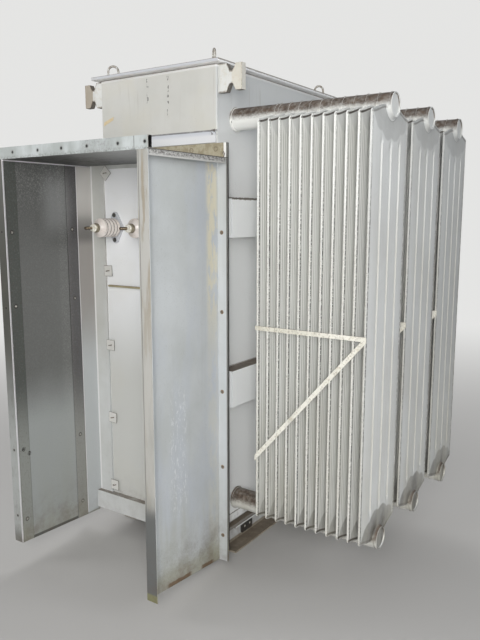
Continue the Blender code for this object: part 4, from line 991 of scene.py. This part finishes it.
def build_bushings():
    for number in (1, 2, 3):
        low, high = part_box(f"bushing_{number}")
        cx, cz, length = (low.x + high.x) / 2, (low.z + high.z) / 2, high.y - low.y
        put = axes((cx, high.y, cz), RIGHT, UP, -REAR)
        sheds = [(SHED_FIRST + k * SHED_PITCH + along, radius) for k in range(SHEDS) for along, radius in SHED]
        tail = SHED_FIRST + SHEDS * SHED_PITCH
        bm = bmesh.new()
        turn(bm, [(0.0, 0.0), (0.0, 0.0335), (0.013, 0.0335), *sheds[:-2], (tail - 0.004, 0.037), (tail, 0.031),
                  (length - 0.0035, 0.0225), (length - 0.0005, 0.019), (length - 0.0005, 0.0)], 48, put)
        place(f"bushing_porcelain_{number}", bm, porcelain, 50.0, "porcelain", (f"bushing_{number}",))
        seams = bmesh.new()
        for k in range(1, SHEDS):
            ring_bead(seams, put, SHED_FIRST + k * SHED_PITCH - 0.0006, 0.0382, 0.0021, 40)
        place(f"bushing_seams_{number}", seams, seam_brown, 60.0, "porcelain")
        node = f"bushing_terminal_{number}"
        put = axes((cx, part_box(node)[1].y, cz), RIGHT, UP, -REAR)
        cup, nuts, stud = bmesh.new(), bmesh.new(), bmesh.new()
        turn(cup, CUP, 32, put)
        place(f"bushing_cup_{number}", cup, cup_metal, 50.0, "terminal_brass")
        turn(nuts, ROUND_NUT, 32, put)
        turn(nuts, HEX_NUT, 6, put)
        ridges = [THREAD_FIRST + k * THREAD_PITCH for k in range(THREADS)]
        thread = [row for s in ridges for row in ((s, 0.0067), (s + 0.0007, 0.006))]
        turn(stud, [(0.017, 0.0), (0.017, 0.0062), *thread, (0.069, 0.006), (0.0715, 0.0038), (0.0715, 0.0)],
             20, put)
        place(f"bushing_stud_{number}", stud, brass, 35.0, "terminal_brass", (node,))
        place(f"bushing_nuts_{number}", nuts, nut_steel, 35.0, "terminal_brass")
        build_clamp(number)


def build_clamp(number):
    """Cast clamp with rounded ends, and two nuts on washers."""
    low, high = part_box(f"bushing_clamp_{number}")
    cx, cz = (low.x + high.x) / 2, (low.z + high.z) / 2
    front = high.y - CLAMP_THICK
    outline = []
    for sign in (1, -1):
        outline.append((CLAMP_REACH * sign, 0.0))
        for k in range(9):
            angle = math.radians(18 + 144 * k / 8)
            u, v = CLAMP_END * math.cos(angle), CLAMP_BOLT + CLAMP_END * math.sin(angle)
            outline.append((sign * u, sign * v))
    plate = bmesh.new()
    loops = []
    for y, grow in ((high.y, 0.0), (front + 0.002, 0.0), (front, -0.0018)):
        shares = [1 + grow / math.hypot(u, v) for u, v in outline]
        loops.append([plate.verts.new((cx + u * k, y, cz + v * k)) for (u, v), k in zip(outline, shares)])
    holes = [[plate.verts.new((cx + CLAMP_BORE * c, y, cz + CLAMP_BORE * s)) for c, s in circle(40)]
             for y in (high.y, front)]
    skin(plate, loops)
    skin(plate, holes)
    for pair in ((loops[-1], holes[1]), (loops[0], holes[0])):
        edges = []
        for loop in pair:
            for ends in zip(loop, loop[1:] + loop[:1]):
                edges.append(plate.edges.get(ends) or plate.edges.new(ends))
        bmesh.ops.triangle_fill(plate, use_beauty=True, edges=edges)
    place(f"bushing_clamp_plate_{number}", plate, clamp_paint, 40.0, "tank_paint", (f"bushing_clamp_{number}",))
    bolts = bmesh.new()
    for sign in (1, -1):
        put = axes((cx, front, cz + sign * CLAMP_BOLT), RIGHT, UP, -REAR)
        turn(bolts, [(0.0002, 0.0), (0.0002, 0.01), (0.0016, 0.01), (0.0018, 0.0)], 20, put)
        turn(bolts, [(0.0019, 0.0), (0.0019, 0.0074), (0.0062, 0.0074), (0.007, 0.0062), (0.007, 0.0)], 6, put)
    place(f"bushing_clamp_nuts_{number}", bolts, dark_metal, 35.0, "tank_paint")


# Bolts, welds and small parts

def bolt(rings, heads, centre, along, size):
    """A washer and a hexagon head on a face, turned by chance; along points out of the face."""
    side = along.orthogonal().normalized()
    up = along.cross(side)
    tilt = random.uniform(0, math.pi / 3)
    c, s = math.cos(tilt), math.sin(tilt)
    put = axes(centre, side * c + up * s, up * c - side * s, along)
    turn(rings, [(0.0002, 0.0), (0.0002, size), (0.0012, size * 0.96), (0.0014, 0.0)], 20, put)
    turn(heads, [(0.0015, 0.0), (0.0015, size * 0.6), (0.005, size * 0.6), (0.0058, size * 0.5), (0.0058, 0.0)],
         6, put)


def build_bolts():
    rings, heads, screws = bmesh.new(), bmesh.new(), bmesh.new()
    for z in FLANGE_BOLTS:
        for x in (HALF_WIDTH + 0.03, -HALF_WIDTH - 0.112):
            bolt(rings, heads, (CENTRE_X + x, wall_right_high.y - 0.0036, z), -REAR, 0.0085)
    place("flange_bolt_washers", rings, rusty_ring, 35.0, "chamber_paint")
    place("flange_bolt_heads", heads, bolt_steel, 35.0, "chamber_paint")
    for y, levels in STRAP_SCREWS:
        for z in levels:
            turn(screws, [(0.0, 0.0), (0.0, 0.0052), (0.0012, 0.005), (0.0028, 0.0034), (0.0033, 0.0)], 14,
                 axes((wall_left_high.x + 0.0002, y + CENTRE_Y, z), REAR, UP, RIGHT))
    place("strap_screws", screws, screw_steel, 50.0, "chamber_paint")


def build_welds():
    """Beads along the stiffeners, the bottom plate and the lugs."""
    beads = bmesh.new()
    for hand, sx in (("right", 1), ("left", -1)):
        x = sx * (HALF_WIDTH + 0.002)
        runs = [(z, 0.02, 0.0026) for top in STIFFENER_TOPS for z in (top, top - STIFFENER_TALL)]
        for z, short, radius in (*runs, (PLATE_WELD_LEVEL, 0.004, 0.0032)):
            bead(beads, at(x, -HALF_LENGTH + short, z), at(x, HALF_LENGTH - short, z), radius)
        for end in ("rear", "front"):
            low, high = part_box(f"lifting_lug_{end}_{hand}")
            for y in (low.y, high.y):
                bead(beads, (x + CENTRE_X, y, low.z + 0.002), (x + CENTRE_X, y, high.z - 0.004), 0.0034)
    place("tank_weld_beads", beads, tank_paint, 60.0, "tank_paint")


def build_stiffener_ends():
    """Thin plates that close the ends of the channel stiffeners."""
    plates = bmesh.new()
    thick, inset = 0.003, 0.0008
    for node in STIFFENERS:
        low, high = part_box(node)
        run = 0 if "rear" in node else 1
        for end in (low[run] + inset, high[run] - inset - thick):
            a, b = low + Vector((inset, inset, inset)), high - Vector((inset, inset, inset))
            a[run], b[run] = end, end + thick
            corners = ((a.x, a.y), (b.x, a.y), (b.x, b.y), (a.x, b.y))
            skin_and_cap(plates, [[plates.verts.new((x, y, z)) for x, y in corners] for z in (a.z, b.z)])
    place("stiffener_end_plates", plates, tank_paint, 0, "tank_paint")


def build_pad_studs():
    """A bright stud in each hole of the two earth pads."""
    studs = bmesh.new()
    for node in PADS:
        low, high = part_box(node)
        middle = (low + high) / 2
        out = RIGHT if middle.x > CENTRE_X else -RIGHT
        base = high.x - 0.009 if middle.x > CENTRE_X else low.x + 0.009
        for shift in (-0.021, 0.021):
            turn(studs, [(0.0, 0.0), (0.0, 0.0058), (0.007, 0.0058), (0.008, 0.0048), (0.008, 0.0)], 16,
                 axes((base, middle.y + shift, middle.z), REAR, UP, out))
    place("earth_pad_studs", studs, nut_steel, 40.0, "tank_paint")


def build_tabs():
    """Thin square tabs on the frame's left edge inside the chamber, one of them turned to a diamond."""
    tabs, clips, seams = bmesh.new(), bmesh.new(), bmesh.new()
    x, face, half = CENTRE_X + HALF_WIDTH - 0.613, tank_low.y - 0.0086, 0.0235
    for z, angle in TABS:
        c, s = math.cos(math.radians(angle)), math.sin(math.radians(angle))
        corners = [(u * c - v * s, u * s + v * c) for u, v in CORNERS]
        skin_and_cap(tabs, [[tabs.verts.new((x + u * h, y, z + v * h)) for u, v in corners]
                            for y, h in ((face, half), (face - 0.0016, half), (face - 0.0022, half - 0.0008))])
        for (u, v), (m, n) in zip(corners, corners[1:] + corners[:1]):
            y = face - 0.0006
            bead(seams, (x + u * half, y, z + v * half), (x + m * half, y, z + n * half), 0.0016)
        points = [(x - 0.01 + 0.02 * t, face - 0.0026 - 0.009 * math.sin(math.pi * t), z + 0.004 * (t - 0.5))
                  for t in (k / 8 for k in range(9))]
        tube(clips, points, [0.002] * 9)
    place("chamber_tabs", tabs, tab_paint, 30.0, "tank_paint")
    # Grey beads along each tab's edge, drawing a darker outline round it.
    place("chamber_tab_seams", seams, tab_seam, 60.0, "tank_paint")
    place("chamber_tab_clips", clips, bolt_steel, 60.0, "tank_paint")


def build_small_parts():
    """A scrap of tape on the end wall and a wire hook on the roof's corner."""
    tape, hook = bmesh.new(), bmesh.new()
    x, y, z = CENTRE_X + HALF_WIDTH - 0.59, tank_low.y - 0.0003, 1.914
    corners = ((-0.03, -0.012), (0.028, -0.006), (0.031, 0.007), (-0.027, 0.004))
    skin_and_cap(tape, [[tape.verts.new((x + u, y - d, z + v + u * 0.28)) for u, v in corners]
                        for d in (0, 0.0006)])
    place("tape_scrap", tape, tape_tan, 0, "tank_paint")
    bend = ((-0.01, 0.0, -0.03), (-0.004, -0.002, -0.006), (0.0, -0.003, 0.006), (-0.006, -0.002, 0.014),
            (-0.012, 0.0, 0.006))
    foot = Vector((roof_high.x - 0.004, roof_high.y - 0.012, 1.735))
    tube(hook, [foot + Vector(p) for p in bend], [0.0016] * 5)
    place("wire_hook", hook, bolt_steel, 60.0, "chamber_paint")


def build_eyes():
    """Bent rod eyes on the cover, with a weld at each foot."""
    rods, welds = bmesh.new(), bmesh.new()
    half, r = 0.022, 0.0048
    for node in EYES:
        low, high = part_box(node)
        foot = (low + high) / 2
        foot.z = low.z
        along = Vector((1 if "right" in node else -1, 1 if "rear" in node else -1, 0)).normalized()
        centre = foot + UP * (high.z - low.z - r - half)
        points = [foot - along * half]
        for k in range(17):
            angle = math.pi * k / 16
            points.append(centre - along * half * math.cos(angle) + UP * half * math.sin(angle))
        points.append(foot + along * half)
        tube(rods, points, [r] * len(points), 14)
        for end in (points[0], points[-1]):
            ring_bead(welds, axes(end, RIGHT, REAR, UP), 0.0008, r + 0.0006, 0.0022, 20)
    place("cover_eye_rods", rods, lug_paint, 50.0, "tank_paint", EYES)
    place("cover_eye_welds", welds, tank_paint, 60.0, "tank_paint")


ENDS = [f"{end}_{hand}" for end in ("front", "rear") for hand in ("right", "left")]
EYES = [f"cover_eye_{end}" for end in ENDS]
LUGS = [f"lifting_lug_{end}" for end in ENDS]
PADS = ["earth_pad_front", "earth_pad_rear"]
RAILS = ["base_rail_right", "base_rail_left"]
STIFFENERS = [f"stiffener_{hand}_{row}" for hand in ("right", "left", "rear") for row in ("upper", "lower")]


def dress_cad():
    give(tank_paint, ["tank_shell", "tank_cover", "tank_bottom_plate", "front_top_band", *STIFFENERS])
    give(shelf_paint, ["front_shelf_bar"])
    give(lug_paint, LUGS)
    give(frame_paint, ["mounting_frame"])
    give(right_paint, ["chamber_wall_right"])
    give(left_paint, ["chamber_wall_left"])
    give(roof_paint, ["chamber_roof"])
    give(base_paint, [*RAILS, "base_cross_rail_front", "base_cross_rail_rear"])
    give(pad_paint, PADS)
    give(trim_paint, [f"radiator_brace_{k}" for k in (1, 2, 3)])
    soft_edges(["tank_bottom_plate", "front_top_band", "front_shelf_bar", *RAILS, *STIFFENERS], 0.0012, 2)
    soft_edges(LUGS, 0.0022, 3)
    soft_edges(PADS, 0.0008, 2)


# Stage, light and camera

BACKDROP = (0.78, 0.78, 0.77, 1.0)
FLOOR = (0.5, 0.49, 0.475, 1.0)
SKY = (0.95, 0.97, 1.0, 1.0)
SKY_STRENGTH = 0.34
FLOOR_REACH = 14.0
# Each lamp: name, place, aim, width, power, colour
LAMPS = (("key", (2.6, -5.0, 2.7), (0.2, 0.0, 1.1), 2.6, 112, (1.0, 0.985, 0.965)),
         ("front", (2.36, -3.35, 1.55), (0.05, -0.2, 1.15), 0.9, 45, (1.0, 0.99, 0.98)),
         ("side", (5.4, 0.6, 3.0), (0.4, 0.0, 1.0), 2.4, 48, (0.94, 0.97, 1.0)),
         ("left", (-4.6, -3.4, 3.0), (0.0, 0.0, 1.0), 2.4, 60, (1.0, 1.0, 1.0)),
         ("back", (-2.6, 5.0, 3.6), (0.0, 0.0, 1.0), 2.6, 150, (1.0, 1.0, 1.0)))
# The camera that fits the photograph
FOCAL_PIXELS, PHOTO_HEIGHT = 656.56, 640.0
CAMERA_PLACE = (1.888, -2.676, 1.5)
CAMERA_DOWN, CAMERA_TURN = 9.03, 33.82


def build_floor():
    """Pale floor that turns into the backdrop with distance, for the camera's own rays only."""
    bm = bmesh.new()
    bmesh.ops.create_grid(bm, x_segments=1, y_segments=1, size=FLOOR_REACH)
    mesh = bpy.data.meshes.new("floor")
    bm.to_mesh(mesh)
    bm.free()
    floor = bpy.data.objects.new("floor", mesh)
    floor.location.z = -0.0005
    bpy.context.scene.collection.objects.link(floor)
    g = Graph("floor_pale", 0.9)
    g.put(g.shader.inputs["Base Color"], FLOOR)
    length = g.node("ShaderNodeVectorMath", {0: g.position}, operation="LENGTH").outputs["Value"]
    seen = g.node("ShaderNodeLightPath", {}).outputs["Is Camera Ray"]
    glow = g.node("ShaderNodeEmission", {"Color": BACKDROP})
    blend = g.node("ShaderNodeMixShader", {0: Field(g, length).step(1.6, 7.0) * seen, 1: g.shader.outputs[0],
                                           2: glow.outputs[0]})
    g.put(g.tree.nodes["Material Output"].inputs[0], blend.outputs[0])
    mesh.materials.append(g.material)


def build_sky():
    """Even light from all round, which the camera sees as the backdrop."""
    world = bpy.data.worlds.new("studio")
    bpy.context.scene.world = world
    world.use_nodes = True
    sky = Nodes(world.node_tree)
    lit = sky.tree.nodes["Background"]
    sky.put(lit.inputs["Color"], SKY)
    sky.put(lit.inputs["Strength"], SKY_STRENGTH)
    seen = sky.node("ShaderNodeBackground", {"Color": BACKDROP, "Strength": 1.0})
    path = sky.node("ShaderNodeLightPath", {}).outputs
    either = sky.node("ShaderNodeMath", {0: path["Is Camera Ray"], 1: path["Is Transmission Ray"]},
                      operation="MAXIMUM")
    blend = sky.node("ShaderNodeMixShader", {0: either.outputs[0], 1: lit.outputs[0], 2: seen.outputs[0]})
    sky.put(sky.tree.nodes["World Output"].inputs[0], blend.outputs[0])


def build_lamps():
    for name, where, target, size, power, colour in LAMPS:
        lamp = bpy.data.lights.new(name, "AREA")
        lamp.shape = "DISK"
        lamp.size = size
        lamp.energy = power
        lamp.color = colour
        item = bpy.data.objects.new(name, lamp)
        item.location = at(*where)
        item.rotation_euler = (at(*target) - item.location).to_track_quat("-Z", "Y").to_euler()
        bpy.context.scene.collection.objects.link(item)


def build_camera():
    camera = bpy.data.cameras.new("camera")
    camera.sensor_fit = "VERTICAL"
    camera.sensor_height = 24.0
    camera.sensor_width = 18.0
    camera.lens = 24.0 * FOCAL_PIXELS / PHOTO_HEIGHT
    item = bpy.data.objects.new("camera", camera)
    item.location = at(*CAMERA_PLACE)
    item.rotation_euler = (math.radians(90 - CAMERA_DOWN), 0.0, math.radians(CAMERA_TURN))
    bpy.context.scene.collection.objects.link(item)
    bpy.context.scene.camera = item


dress_cad()
build_eyes()
build_radiators()
build_bushings()
build_bolts()
build_welds()
build_tabs()
build_stiffener_ends()
build_pad_studs()
build_small_parts()
build_floor()
build_sky()
build_lamps()
build_camera()
bpy.context.scene.view_settings.view_transform = "Standard"
